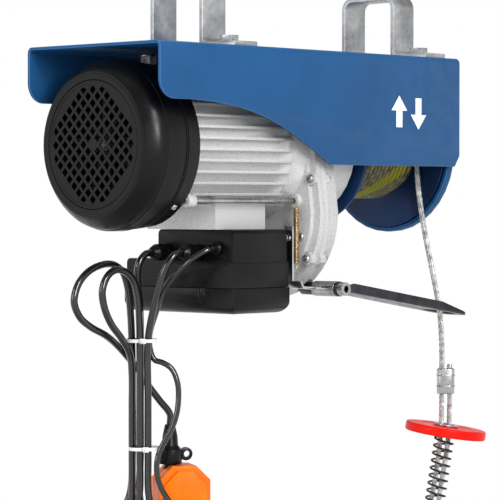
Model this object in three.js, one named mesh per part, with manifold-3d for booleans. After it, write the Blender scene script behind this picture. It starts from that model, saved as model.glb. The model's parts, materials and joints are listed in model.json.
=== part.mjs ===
// Electric wire rope hoist: frame, motor, gearbox, drum, hook, limit lever, control box and pendant.
// Millimetres. +X runs from the fan to the drum, -Y is the rope's side, +Z is up.
// The origin is the centre of the top plate's upper face, where the beam is clamped.
import * as THREE from 'three';
import { mergeVertices } from 'three/addons/utils/BufferGeometryUtils.js';
import Module from 'manifold-3d';

const wasm = await Module();
wasm.setup();

// Driving dimensions
const GAP = 0.3;                       // left between pieces that touch
const FRAME_LENGTH = 462;
const FRAME_WIDTH = 195;
const SHEET = 3;                       // frame and end plate steel
const AXIS_Z = -101;                   // motor, gearbox and drum share this axis
const LEFT_DEPTH = 57;                 // frame side depth beside the fan
const RIGHT_DEPTH = 119.5;             // frame side depth beside the drum
const BEAM = 64;                       // square beam tube that the brackets hold
const STRAP_WIDTH = 34;
const STRAP = 5;                       // bracket strap thickness
const BRACKET_X = [-96, 205];
const BOLT_Y = 60;                     // bracket bolts each side of the centre
const M10_FLATS = 17;
const COVER_LEFT = -231;
const COVER_RIGHT = -161;
const COVER_RADIUS = 87;
const MOTOR_RIGHT = -15;
const MOTOR_CORE = 66;
const MOTOR_FINS = 77;                 // radius that the fin tips reach
const FIN_PITCH = 11.4;
const FIN = 2.6;
const ROD_Y = 60;
const ROD_DROP = 56;                   // tie rods below the axis
const SPLIT_X = 18.5;                  // joint face of the two gearbox halves
const MODULE = 2.25;
const TEETH = { motor: 8, idler: 48, idlerPinion: 9, drum: 47 };
const CENTRES = MODULE * (TEETH.motor + TEETH.idler) / 2;
const IDLER_Y = -18;                   // idler shaft, off the motor axis
const IDLER_DROP = Math.sqrt(CENTRES ** 2 - IDLER_Y ** 2);
const CASE_Y = 6.5;                     // middle of the gearbox's round case
const CASE_DROP = 69;
const CASE_RADIUS = 96;
const DRUM_LEFT = 94;
const DRUM_RIGHT = 221;
const DRUM_CORE = 42;
const ROPE = 6;                        // wire rope diameter
const LEVER_PIVOT = [36, -76, -250];
const LEVER_SLOPE = 8.8;               // degrees down towards the rope
const LEVER_LENGTH = 219;
const BOX = { left: -96, right: -16, near: -66, far: 44, top: -187, step: -218, split: -247, bottom: -274 };
const LID_FAR = 94;
const WALL = 2.5;
const FERRULE_TOP = [233.5, -76, -344];
const FERRULE_HEIGHT = 28;
const DISC_CENTRE = [233.5, -76, -413];
const DISC_RADIUS = 45;
const HOOK_LEAN = 8.5;                 // degrees that the slack hook end hangs off plumb
const LEAN_AXIS = [0.7227, 0.6912, 0];
const CORD = 7.5;
const PENDANT = { top: -434, height: 128, width: 56, depth: 46 };

const INK = {
  blue: 0x37699a, black: 0x1d1e20, cast: 0xb9bbbd, zinc: 0x9b9ea1, steel: 0x6c6f72,
  dark: 0x3a3c3e, rope: 0xb3b0aa, brass: 0xc8a46c, red: 0xf52a0c, orange: 0xff7600, copper: 0xb06a3a,
};

const group = new THREE.Group();

// ---- helpers -------------------------------------------------------------------------------

function finish(ink, roughness, metalness) {
  return new THREE.MeshStandardMaterial({ color: INK[ink], roughness, metalness });
}

const blue = () => finish('blue', 0.45, 0);
const plastic = () => finish('black', 0.4, 0);
const cast = () => finish('cast', 0.6, 0.9);
const zinc = () => finish('zinc', 0.45, 0.9);
const steel = () => finish('steel', 0.4, 1);

// Shared vertices merged, flat triangles dropped and faces turned outwards.
function welded(geometry) {
  const bare = geometry.clone();
  bare.deleteAttribute('normal');
  bare.deleteAttribute('uv');
  const merged = mergeVertices(bare, 1e-4);
  const corner = (i) => new THREE.Vector3().fromBufferAttribute(merged.attributes.position, i);
  const index = merged.index.array;
  const kept = [];
  let volume = 0;
  for (let i = 0; i < index.length; i += 3) {
    const [a, b, c] = [index[i], index[i + 1], index[i + 2]];
    if (a === b || b === c || c === a) continue;
    volume += corner(a).dot(corner(b).cross(corner(c)));
    kept.push(a, b, c);
  }
  if (volume < 0) kept.reverse();
  merged.setIndex(kept);
  return merged;
}

function solid(geometry) {
  const closed = welded(geometry);
  const vertProperties = new Float32Array(closed.attributes.position.array);
  const triVerts = new Uint32Array(closed.index.array);
  return new wasm.Manifold(new wasm.Mesh({ numProp: 3, vertProperties, triVerts }));
}

function faceted(manifold) {
  const mesh = manifold.getMesh();
  const geometry = new THREE.BufferGeometry();
  geometry.setAttribute('position', new THREE.BufferAttribute(mesh.vertProperties, mesh.numProp));
  geometry.setIndex(Array.from(mesh.triVerts));
  return geometry;
}

// The first geometries joined, with the second ones cut away.
function shaped(joined, cut = []) {
  let body = solid(joined[0]);
  for (const piece of joined.slice(1)) body = body.add(solid(piece));
  for (const piece of cut) body = body.subtract(solid(piece));
  return faceted(body);
}

function common(first, second) {
  return faceted(solid(first).intersect(solid(second)));
}

function add(name, geometry, material, parent = group) {
  const mesh = new THREE.Mesh(welded(geometry), material);
  mesh.name = name;
  parent.add(mesh);
  return mesh;
}

const BASIS = {
  x: [[0, 1, 0], [0, 0, 1], [1, 0, 0]],
  y: [[1, 0, 0], [0, 0, 1], [0, -1, 0]],
  z: [[1, 0, 0], [0, 1, 0], [0, 0, 1]],
};

// An outline drawn in (y,z), (x,z) or (x,y), drawn out along the third axis from low to high.
function prism(axis, shape, low, high, curveSegments = 12) {
  const options = { depth: high - low, bevelEnabled: false, curveSegments };
  const geometry = new THREE.ExtrudeGeometry(shape, options);
  const columns = BASIS[axis].map((column) => new THREE.Vector3(...column));
  geometry.applyMatrix4(new THREE.Matrix4().makeBasis(...columns));
  const start = axis === 'y' ? high : low;
  geometry.translate(...['x', 'y', 'z'].map((letter) => (letter === axis ? start : 0)));
  return geometry;
}

function polygon(points) {
  return new THREE.Shape(points.map(([a, b]) => new THREE.Vector2(a, b)));
}

function circle(a, b, radius) {
  return new THREE.Shape().absarc(a, b, radius, 0, Math.PI * 2, false);
}

function rod(axis, a, b, radius, low, high, sides = 24) {
  return prism(axis, circle(a, b, radius), low, high, sides / 2);
}

function block(x0, x1, y0, y1, z0, z1) {
  const geometry = new THREE.BoxGeometry(x1 - x0, y1 - y0, z1 - z0);
  return geometry.translate((x0 + x1) / 2, (y0 + y1) / 2, (z0 + z1) / 2);
}

function hexagon(a, b, flats) {
  const radius = flats / Math.sqrt(3);
  const corners = Array.from({ length: 6 }, (_, i) => i * Math.PI / 3);
  return polygon(corners.map((t) => [a + radius * Math.cos(t), b + radius * Math.sin(t)]));
}

// A profile of [x, radius] points turned about the X axis.
function turned(profile, segments = 48) {
  const points = profile.map(([x, r]) => new THREE.Vector2(r, x));
  return new THREE.LatheGeometry(points, segments).rotateZ(-Math.PI / 2);
}

function ring(x0, x1, inner, outer, segments = 48) {
  return turned([[x0, inner], [x0, outer], [x1, outer], [x1, inner], [x0, inner]], segments);
}

// The same about the Z axis, with [radius, z] points.
function spun(profile, segments = 32) {
  const points = profile.map(([r, z]) => new THREE.Vector2(r, z));
  return new THREE.LatheGeometry(points, segments).rotateX(Math.PI / 2);
}

function roundedBox(a0, a1, b0, b1, radius) {
  const shape = new THREE.Shape();
  shape.absarc(a1 - radius, b1 - radius, radius, 0, Math.PI / 2, false);
  shape.absarc(a0 + radius, b1 - radius, radius, Math.PI / 2, Math.PI, false);
  shape.absarc(a0 + radius, b0 + radius, radius, Math.PI, Math.PI * 1.5, false);
  shape.absarc(a1 - radius, b0 + radius, radius, Math.PI * 1.5, Math.PI * 2, false);
  return shape;
}

function swept(path, radius, steps, sides) {
  const section = polygon(Array.from({ length: sides }, (_, i) => {
    const t = i * Math.PI * 2 / sides;
    return [radius * Math.cos(t), radius * Math.sin(t)];
  }));
  return new THREE.ExtrudeGeometry(section, { steps, bevelEnabled: false, extrudePath: path });
}

function tube(points, diameter, steps, sides = 8) {
  const path = new THREE.CatmullRomCurve3(points.map((p) => new THREE.Vector3(...p)));
  return swept(path, diameter / 2, steps, sides);
}

class Helix extends THREE.Curve {
  constructor(radius, turns, z0, z1) {
    super();
    Object.assign(this, { radius, turns, z0, z1 });
  }
  getPoint(t, target = new THREE.Vector3()) {
    const angle = t * this.turns * Math.PI * 2;
    const z = this.z0 + (this.z1 - this.z0) * t;
    return target.set(this.radius * Math.cos(angle), this.radius * Math.sin(angle), z);
  }
}

// A gear outline centred on (y, z), with one tooth at the given angle.
function gear(teeth, y, z, angle, bore) {
  const pitch = MODULE * teeth / 2;
  const step = Math.PI * 2 / teeth;
  const [tip, root] = [pitch + 0.75 * MODULE, pitch - 1.15 * MODULE];
  const [tipHalf, rootHalf] = [step * 0.09, step * 0.25];
  const corners = [[root, -rootHalf], [tip, -tipHalf], [tip, tipHalf], [root, rootHalf]];
  const outline = [];
  for (let i = 0; i < teeth; i += 1) {
    for (const [radius, offset] of corners) {
      const t = angle + i * step + offset;
      outline.push([y + radius * Math.cos(t), z + radius * Math.sin(t)]);
    }
  }
  const shape = polygon(outline);
  if (bore) shape.holes.push(circle(y, z, bore));
  return shape;
}

// Everything on the motor and drum axis is drawn about X and hung here.
const driveline = new THREE.Group();
driveline.position.z = AXIS_Z;
group.add(driveline);

// ---- frame ---------------------------------------------------------------------------------

// One folded channel: top plate with two sides, each side cut to a curve below the motor.
function frameChannel() {
  const half = FRAME_WIDTH / 2;
  const bend = 6;
  const section = new THREE.Shape();
  section.moveTo(-half, -RIGHT_DEPTH);
  section.lineTo(-half, -bend);
  section.absarc(-half + bend, -bend, bend, Math.PI, Math.PI / 2, true);
  section.absarc(half - bend, -bend, bend, Math.PI / 2, 0, true);
  section.lineTo(half, -RIGHT_DEPTH);
  section.lineTo(half - SHEET, -RIGHT_DEPTH);
  section.absarc(half - bend, -bend, bend - SHEET, 0, Math.PI / 2, false);
  section.absarc(-half + bend, -bend, bend - SHEET, Math.PI / 2, Math.PI, false);
  section.lineTo(-half + SHEET, -RIGHT_DEPTH);
  const [left, right] = [-FRAME_LENGTH / 2, FRAME_LENGTH / 2];
  const corner = 20;
  const side = new THREE.Shape();
  side.moveTo(left, 1);
  side.lineTo(left, -LEFT_DEPTH + corner);
  side.absarc(left + corner, -LEFT_DEPTH + corner, corner, Math.PI, Math.PI * 1.5, false);
  side.lineTo(left + 45, -LEFT_DEPTH);
  side.bezierCurveTo(left + 135, -LEFT_DEPTH - 2, left + 180, -LEFT_DEPTH - 22, left + 250, -RIGHT_DEPTH);
  side.lineTo(right - 9, -RIGHT_DEPTH - 1);
  side.lineTo(right, -RIGHT_DEPTH + 12);
  side.lineTo(right, 1);
  const channel = common(prism('x', section, left, right, 5), prism('y', side, -half - 1, half + 1, 10));
  const holes = [];
  for (const x of BRACKET_X) {
    for (const y of [-BOLT_Y, BOLT_Y]) holes.push(rod('z', x, y, 5.4, -SHEET - 1, 1, 12));
  }
  add('frame_channel', shaped([channel], holes), blue());
}

// The pressed plate that closes the drum end, with a rim around the drum's outer flange.
function drumEndPlate() {
  const right = FRAME_LENGTH / 2;
  const half = FRAME_WIDTH / 2 - SHEET - GAP;
  const top = -SHEET - GAP - AXIS_Z;
  const plate = polygon([
    [-half, -14], [half, -14], [half, top - 5], [half - 5, top], [-half + 5, top], [-half, top - 5],
  ]);
  const joined = [
    prism('x', plate, right - 4, right - 1),
    ring(right - 10, right - 1, 86.5, 91, 36),
    turned([[right - 4, 0], [right - 4, 88], [right - 1, 88], [right - 1, 0]], 36),
    turned([[right - 9, 0], [right - 9, 19], [right, 19], [right, 0]], 16),
  ];
  const cut = [turned([[right - 10, 0], [right - 10, 14.3], [right - 2, 14.3], [right - 2, 0]], 16)];
  add('drum_end_plate', shaped(joined, cut), blue(), driveline);
}

// A steel strap bent over the beam tube, with a foot each side.
function beamBracket(name, x) {
  const inner = BEAM / 2 + 1.5;
  const outer = inner + STRAP;
  const top = BEAM + 2;
  const [foot, radius] = [84, 9];
  const shape = new THREE.Shape();
  shape.moveTo(-foot, GAP);
  shape.lineTo(-inner, GAP);
  shape.absarc(-inner + radius, top - radius, radius, Math.PI, Math.PI / 2, true);
  shape.absarc(inner - radius, top - radius, radius, Math.PI / 2, 0, true);
  shape.lineTo(inner, GAP);
  shape.lineTo(foot, GAP);
  shape.lineTo(foot, GAP + STRAP);
  shape.lineTo(outer + 4, GAP + STRAP);
  shape.lineTo(outer, GAP + STRAP + 4);
  shape.absarc(inner - radius, top - radius, radius + STRAP, 0, Math.PI / 2, false);
  shape.absarc(-inner + radius, top - radius, radius + STRAP, Math.PI / 2, Math.PI, false);
  shape.lineTo(-outer, GAP + STRAP + 4);
  shape.lineTo(-outer - 4, GAP + STRAP);
  shape.lineTo(-foot, GAP + STRAP);
  const strap = prism('x', shape, x - STRAP_WIDTH / 2, x + STRAP_WIDTH / 2, 3);
  const holes = [-BOLT_Y, BOLT_Y].map((y) => rod('z', x, y, 5.4, -1, 9, 12));
  add(name, shaped([strap], holes), zinc());
}

// A hex bolt with its nut and washer run on from below.
function bracketBolt(name, x, y) {
  const head = GAP + STRAP + GAP;
  const under = -SHEET - GAP;
  const joined = [
    prism('z', hexagon(x, y, M10_FLATS), head, head + 6.4),
    rod('z', x, y, 5, -22, head + 1, 10),
    rod('z', x, y, 10, under - 2, under, 12),
    prism('z', hexagon(x, y, M10_FLATS), under - 10, under - 1),
  ];
  add(name, shaped(joined), zinc());
}

// ---- motor ---------------------------------------------------------------------------------

// Cast shell with level fins, a pad below for the control box and lugs for the tie rods.
function motorHousing() {
  const left = COVER_RIGHT - 8;
  const fins = [];
  for (let i = -5; i <= 5; i += 1) {
    const z = i * FIN_PITCH - 4;
    fins.push(block(COVER_RIGHT + 4, MOTOR_RIGHT - 0.1, -90, 90, z - FIN / 2, z + FIN / 2));
  }
  let finned = solid(fins[0]);
  for (const fin of fins.slice(1)) finned = finned.add(solid(fin));
  const envelope = turned([[left, 0], [left, MOTOR_FINS], [MOTOR_RIGHT, MOTOR_FINS], [MOTOR_RIGHT, 0]], 32);
  const body = finned.intersect(solid(envelope));
  const shell = turned([
    [left, 0], [left, 79], [COVER_RIGHT + 3, 79], [COVER_RIGHT + 4, MOTOR_CORE],
    [MOTOR_RIGHT - 12, MOTOR_CORE], [MOTOR_RIGHT - 4, 72], [MOTOR_RIGHT, 73], [MOTOR_RIGHT, 0],
  ], 32);
  const lugs = [-1, 1].map((s) => rod('x', s * ROD_Y, -ROD_DROP, 7, COVER_RIGHT + 1, COVER_RIGHT + 12, 12));
  const pad = block(-106, -32, -50, 50, BOX.top + GAP - AXIS_Z, -50);
  const bore = turned([
    [left + 6, 0], [left + 6, 59], [MOTOR_RIGHT - 6, 59], [MOTOR_RIGHT - 6, 0],
  ], 32);
  const [a, b] = [left - 1, MOTOR_RIGHT + 1];
  const shaftHole = turned([[a, 0], [a, 8.4], [b, 8.4], [b, 0]], 16);
  const seats = [[left + 4, left + 7], [MOTOR_RIGHT - 7, b]].map(([from, to]) => (
    turned([[from, 0], [from, 16.3], [to, 16.3], [to, 0]], 16)));
  const rods = [-1, 1].map((s) => rod('x', s * ROD_Y, -ROD_DROP, 3.3, COVER_RIGHT - 2, b, 12));
  let housing = body.add(solid(shell)).add(solid(pad));
  for (const lug of lugs) housing = housing.add(solid(lug));
  for (const hollow of [bore, shaftHole, ...seats, ...rods]) housing = housing.subtract(solid(hollow));
  add('motor_housing', faceted(housing), cast(), driveline);
}

const STATOR = [-140, -62];

function motorInside() {
  add('stator_core', ring(...STATOR, 39.3, 58.5, 32), steel(), driveline);
  const [a, b] = STATOR;
  const winding = turned([
    [a - 18, 42], [a - 2, 36.8], [b + 2, 36.8], [b + 18, 42], [b + 18, 52], [b + GAP, 55], [b + GAP, 39],
    [a - GAP, 39], [a - GAP, 55], [a - 18, 52], [a - 18, 42],
  ], 24);
  add('stator_winding', winding, finish('copper', 0.5, 0.3), driveline);
  add('rotor_core', ring(a - 3, b + 3, 8.3, 35.6, 24), steel(), driveline);
  const [shoulder, right] = [SPLIT_X - 6, SPLIT_X + 12];
  const shaft = [
    turned([
      [-214, 0], [-214, 6], [-196, 6], [-196, 8], [shoulder, 8], [shoulder, 5.5], [right, 5.5], [right, 0],
    ], 24),
    prism('x', gear(TEETH.motor, 0, 0, idlerAngle), shoulder, SPLIT_X + 10),
  ];
  add('rotor_shaft', shaped(shaft), steel(), driveline);
  const bearing = (from, to) => ring(from, to, 8.3, 15.9, 16);
  add('motor_bearing_rear', bearing(COVER_RIGHT - 4 + GAP, COVER_RIGHT + 5), steel(), driveline);
  add('motor_bearing_front', bearing(MOTOR_RIGHT - 10, MOTOR_RIGHT - GAP), steel(), driveline);
}

// Radial blades on a hub and back disc, driven by the shaft's thin end.
function coolingFan() {
  const blades = 9;
  const joined = [
    turned([[-213, 0], [-213, 14], [-196, 14], [-196, 0]], 18),
    turned([[-199, 0], [-199, 68], [-196, 68], [-196, 0]], 36),
  ];
  for (let i = 0; i < blades; i += 1) {
    joined.push(block(-216, -197, -1.2, 1.2, 10, 66).rotateX(i * Math.PI * 2 / blades));
  }
  const bore = turned([[-220, 0], [-220, 6.3], [-190, 6.3], [-190, 0]], 16);
  add('cooling_fan', shaped(joined, [bore]), plastic(), driveline);
}

const GRILLE_RADIUS = 65;

// Cup over the fan: rounded shoulder, then a skirt that slides on to the motor.
function fanCover() {
  const [x, r, wall] = [COVER_LEFT, COVER_RADIUS, 2.6];
  const outer = [
    [0, GRILLE_RADIUS + GAP], [0, 75], [2, 79], [6, 82.2], [14, 85.7], [22, r], [32, r], [48, r - 2],
    [70, r - 4],
  ];
  const inner = [
    [70, r - 4 - wall], [32, r - wall], [22, r - wall], [14, r - 1.3 - wall], [4, 76.5], [3, 72],
    [3, GRILLE_RADIUS + GAP],
  ];
  const profile = [...outer, ...inner, outer[0]].map(([a, b]) => [x + a, b]);
  add('fan_cover', turned(profile, 36), plastic(), driveline);
}

// Flat insert with rows of diamond holes around a solid middle.
function fanGrille() {
  const [x, pitch, bar] = [COVER_LEFT + 0.4, 21, 4];
  const half = (pitch - bar * Math.SQRT2) / 2;
  const shape = circle(0, 0, GRILLE_RADIUS);
  for (let row = -9; row <= 9; row += 1) {
    for (let column = -5; column <= 5; column += 1) {
      const y = (column + (row % 2 ? 0.5 : 0)) * pitch;
      const z = row * pitch / 2;
      const reach = Math.hypot(y, z);
      if (reach < 8 || reach > GRILLE_RADIUS - half - 2.5) continue;
      shape.holes.push(polygon([[y - half, z], [y, z - half], [y + half, z], [y, z + half]]));
    }
  }
  add('fan_grille', prism('x', shape, x, x + 2.4, 20), plastic(), driveline);
}

function tieRod(name, side) {
  add(name, rod('x', side * ROD_Y, -ROD_DROP, 3, COVER_RIGHT + GAP, SPLIT_X - 9, 12), zinc(), driveline);
}

// ---- gearbox -------------------------------------------------------------------------------

const idlerAngle = Math.atan2(-IDLER_DROP, IDLER_Y);

// The casing's outline in (y, z): the hull of the drum circle and the wide case of the gears.
function casingOutline(inset, count = 36) {
  const circles = [[0, 0, 80], [CASE_Y, -CASE_DROP, CASE_RADIUS]];
  const outline = [];
  for (let i = 0; i < count; i += 1) {
    const t = i * Math.PI * 2 / count;
    const [c, s] = [Math.cos(t), Math.sin(t)];
    const supports = circles.map(([y, z, r]) => y * c + z * s + r);
    const [y, z, r] = circles[supports.indexOf(Math.max(...supports))];
    outline.push([y + (r - inset) * c, z + (r - inset) * s]);
  }
  return polygon(outline);
}

function gearCavity(x0, x1) {
  return [
    prism('x', circle(CASE_Y, -CASE_DROP, CASE_RADIUS - 14), x0, x1, 14),
    prism('x', circle(IDLER_Y, -IDLER_DROP, 58.5), x0, x1, 14),
    turned([[x0, 0], [x0, 20], [x1, 20], [x1, 0]], 16),
  ];
}

const SCREWS = [[-79, -33], [-74, -117], [-66, -94], [84, -38], [72, -122], [0, 72]];

// The foot that stands up from each casing half to the frame's top plate.
function topFoot(x0, x1) {
  const under = -SHEET - GAP - AXIS_Z;
  return prism('x', polygon([[-40, 60], [40, 60], [46, under], [-46, under]]), x0, x1);
}

// Motor side half: a cone from the motor up to the joint flange.
function gearboxHousing() {
  const left = MOTOR_RIGHT + GAP;
  const joined = [
    prism('x', casingOutline(0), SPLIT_X - 8, SPLIT_X),
    turned([[left, 0], [left, 72], [SPLIT_X - 8, 76], [SPLIT_X - 7, 0]], 32),
    prism('x', casingOutline(9), SPLIT_X - 13, SPLIT_X - 7),
    rod('x', -ROD_Y, -ROD_DROP, 7.5, SPLIT_X - 18, SPLIT_X - 4, 16),
    rod('x', ROD_Y, -ROD_DROP, 7.5, SPLIT_X - 18, SPLIT_X - 4, 16),
    topFoot(left + 4, SPLIT_X),
  ];
  for (const [y, z] of SCREWS) joined.push(rod('x', y, z, 7, SPLIT_X - 12, SPLIT_X - 4, 10));
  const cut = [
    ...gearCavity(SPLIT_X - 6.5, SPLIT_X + 1),
    turned([[left - 1, 0], [left - 1, 8.6], [SPLIT_X, 8.6], [SPLIT_X, 0]], 16),
    turned([[left - 1, 0], [left - 1, 16.4], [left + 2, 16.4], [left + 2, 0]], 24),
    rod('x', IDLER_Y, -IDLER_DROP, 6.3, SPLIT_X - 10, SPLIT_X, 16),
    ...[-1, 1].map((s) => rod('x', s * ROD_Y, -ROD_DROP, 3.3, SPLIT_X - 19, SPLIT_X - 8, 12)),
  ];
  add('gearbox_housing', shaped(joined, cut), cast(), driveline);
}

// Drum side half: a lobe over the idler and a wide bell that reaches into the drum's flange.
function gearboxCover() {
  const x = SPLIT_X + GAP;
  const bellEnd = 88;
  const joined = [
    prism('x', casingOutline(0), x, x + 7),
    prism('x', casingOutline(4), x + 6, x + 24),
    prism('x', casingOutline(10), x + 23, x + 30),
    turned([[x, 0], [x, 74], [bellEnd - 4, 73], [bellEnd, 69], [bellEnd, 0]], 32),
    topFoot(x, x + 30),
  ];
  for (const [y, z] of SCREWS) joined.push(rod('x', y, z, 7, x + 2, x + 11, 10));
  const [px, py, pz] = LEVER_PIVOT;
  const pivot = pz - AXIS_Z;
  const cut = [
    rod('y', px, pivot, 9.5, py - 30, py + 35, 20),
    rod('y', px, pivot, 4 + GAP, py + 34, py + 44, 16),
    ...gearCavity(x - 1, x + 13),
    rod('x', IDLER_Y, -IDLER_DROP, 15, x - 1, x + 22, 24),
    rod('x', IDLER_Y, -IDLER_DROP, 6.3, x + 20, x + 24, 16),
    turned([[x + 12.4, 0], [x + 12.4, 58], [bellEnd - 12, 60], [bellEnd - 6, 50], [bellEnd - 6, 0]], 28),
    turned([[bellEnd - 7, 0], [bellEnd - 7, 12.6], [bellEnd + 1, 12.6], [bellEnd + 1, 0]], 16),
    turned([[bellEnd - 12, 0], [bellEnd - 12, 21.4], [bellEnd - 1.6, 21.4], [bellEnd - 1.6, 0]], 16),
  ];
  add('gearbox_cover', shaped(joined, cut), cast(), driveline);
}

function gears() {
  const centre = [IDLER_Y, -IDLER_DROP];
  const upward = idlerAngle + Math.PI;
  const idler = [
    prism('x', gear(TEETH.idler, ...centre, upward + Math.PI / TEETH.idler), SPLIT_X, SPLIT_X + 10),
    rod('x', ...centre, 6, SPLIT_X - 9, SPLIT_X + 23.5, 16),
    prism('x', gear(TEETH.idlerPinion, ...centre, upward), SPLIT_X + 9.5, SPLIT_X + 21.5),
  ];
  add('idler_gear', shaped(idler), steel(), driveline);
  const drumGear = prism('x', gear(TEETH.drum, 0, 0, idlerAngle + Math.PI / TEETH.drum, 12.3), 31.5, 39.5);
  add('drum_gear', drumGear, steel(), driveline);
}

// ---- drum ----------------------------------------------------------------------------------

function drumParts() {
  const right = FRAME_LENGTH / 2;
  const drum = turned([
    [DRUM_LEFT, 12.3], [DRUM_LEFT, 80], [DRUM_LEFT + 4.5, 80],
    [DRUM_LEFT + 4.5, DRUM_CORE], [DRUM_RIGHT - 3, DRUM_CORE], [DRUM_RIGHT - 3, 85.5], [DRUM_RIGHT, 85.5],
    [DRUM_RIGHT, 12.3], [DRUM_RIGHT - 4, 12.3], [DRUM_RIGHT - 4, DRUM_CORE - 4],
    [DRUM_LEFT + 5, DRUM_CORE - 4], [DRUM_LEFT + 5, 12.3], [DRUM_LEFT, 12.3],
  ], 36);
  add('drum', drum, blue(), driveline);
  const [a, b, inside] = [DRUM_LEFT + 4.5 + GAP, DRUM_RIGHT - 3 - GAP, DRUM_CORE + GAP];
  const first = DRUM_CORE + ROPE;
  const second = first + ROPE * 0.88;
  const winding = turned([
    [a, inside], [a, second], [b - 9.2, second], [b - 9.2, first], [b, first], [b, inside], [a, inside],
  ], 36);
  add('rope_winding', winding, finish('rope', 0.6, 0.6), driveline);
  const shaft = turned([
    [31, 0], [31, 12], [right - 9.5, 12], [right - 9.5, 8], [right - 2.5, 8], [right - 2.5, 0],
  ], 24);
  add('drum_shaft', shaft, steel(), driveline);
  add('drum_bearing_inner', ring(77, 86, 12.3, 21, 16), steel(), driveline);
  add('drum_bearing_outer', ring(right - 9, right - 2.4, 8.3, 13.8, 16), steel(), driveline);
}

// ---- rope, hook and stop disc --------------------------------------------------------------

const ROPE_ROUTE = [
  [212, -51.3, -101], [212, -51.6, -118], [213, -55, -150], [216, -62, -190], [220, -69, -235],
  [225, -74, -280], [228.5, -74.5, -320], [230.4, -72.9, -344 + GAP],
];

function ropeFall() {
  add('rope_fall', tube(ROPE_ROUTE, ROPE, 18), finish('rope', 0.6, 0.6));
}

// The hook end hangs slack, so it leans a little; it is drawn upright about the disc's centre.
const hookEnd = new THREE.Group();
hookEnd.position.set(...DISC_CENTRE);
hookEnd.quaternion.setFromAxisAngle(new THREE.Vector3(...LEAN_AXIS), THREE.MathUtils.degToRad(HOOK_LEAN));
group.add(hookEnd);

const SEAT_Z = -92;
const HOOK_TOP = SEAT_Z - 58;           // underside of the yoke, where the hook's collar turns
const LEG = 4.4;                       // rope legs each side of the centre line

function ferrule() {
  const [x, y, z] = FERRULE_TOP;
  const shape = new THREE.Shape();
  shape.absarc(LEG - 0.2, 0, 5.6, -Math.PI / 2, Math.PI / 2, false);
  shape.absarc(-LEG + 0.2, 0, 5.6, Math.PI / 2, Math.PI * 1.5, false);
  const sleeve = prism('z', shape, -FERRULE_HEIGHT, 0, 10);
  const stub = rod('z', LEG, 0, 2.9, -1, 5, 12);
  const mesh = add('ferrule', shaped([sleeve, stub]), zinc());
  mesh.position.set(x, y, z);
  mesh.rotation.z = -Math.PI / 4;
}

// The rope below the ferrule: down through the disc and spring, round the pin and back up.
function ropeEye() {
  const start = FERRULE_TOP[2] - FERRULE_HEIGHT - GAP - 0.5 - DISC_CENTRE[2];
  const back = hookEnd.quaternion.clone().invert();
  const hung = (across, z) => new THREE.Vector3(across * Math.SQRT1_2, -across * Math.SQRT1_2, z);
  const plumb = (across, z) => hung(across, z).applyQuaternion(back);
  const turn = 8.6;
  const points = [
    plumb(-LEG, start), plumb(-LEG, start - 12), hung(-LEG, -12), hung(-LEG, -80), hung(-7.5, -98),
  ];
  for (let i = 0; i <= 6; i += 1) {
    const t = Math.PI + i * Math.PI / 6;
    points.push(hung(turn * Math.cos(t), SEAT_Z - 26 + turn * Math.sin(t)));
  }
  points.push(hung(7.5, -98), hung(LEG, -80), hung(LEG, -12), plumb(LEG, start - 12), plumb(LEG, start));
  const route = points.map((p) => p.toArray());
  add('rope_eye', tube(route, ROPE - 0.4, 34), finish('rope', 0.6, 0.6), hookEnd);
}

function stopDisc() {
  const profile = [
    [9.5, -5], [DISC_RADIUS - 1.5, -5], [DISC_RADIUS, -3.5], [DISC_RADIUS, 3.5], [DISC_RADIUS - 1.5, 5],
    [9.5, 5], [9.5, -5],
  ];
  add('stop_disc', spun(profile, 36), finish('red', 0.3, 0), hookEnd);
}

function bufferSpring() {
  const helix = new Helix(10.4, 9.5, -6.8, SEAT_Z + 5.2);
  add('buffer_spring', swept(helix, 1.1, 84, 5), finish('dark', 0.4, 0.8), hookEnd);
}

// Seat plate under the spring, and a forked yoke whose pin takes the rope's eye.
function hookYoke() {
  const seatTop = SEAT_Z + 3.4;
  const seat = spun([[9.8, SEAT_Z], [20, SEAT_Z], [20, seatTop], [9.8, seatTop], [9.8, SEAT_Z]], 28);
  add('spring_seat', seat, zinc(), hookEnd);
  const [half, inner, drop, top] = [16, 11, HOOK_TOP, SEAT_Z - GAP];
  const outline = polygon([
    [-half, top], [-half, drop + 8], [-half + 8, drop], [half - 8, drop], [half, drop + 8], [half, top],
    [inner, top], [inner, drop + 12], [inner - 3, drop + 9], [-inner + 3, drop + 9], [-inner, drop + 12],
    [-inner, top],
  ]);
  const pinZ = SEAT_Z - 26;
  const pinHole = rod('y', 0, pinZ, 5.1, -20, 20, 16);
  const stemHole = rod('z', 0, 0, 6.4, drop - 1, drop + 12, 16);
  const fork = prism('x', outline, -11, 11);
  const yoke = add('hook_yoke', shaped([fork], [pinHole, stemHole]), zinc(), hookEnd);
  yoke.rotation.z = -Math.PI / 4;
  const pin = shaped([rod('y', 0, pinZ, 4.8, -17.5, 17.5, 16), rod('y', 0, pinZ, 7.4, -20, -16.3, 16)]);
  add('yoke_pin', pin, steel(), hookEnd).rotation.z = -Math.PI / 4;
}

const LATCH_PIVOT = [-8.2, HOOK_TOP - 22];

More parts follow.
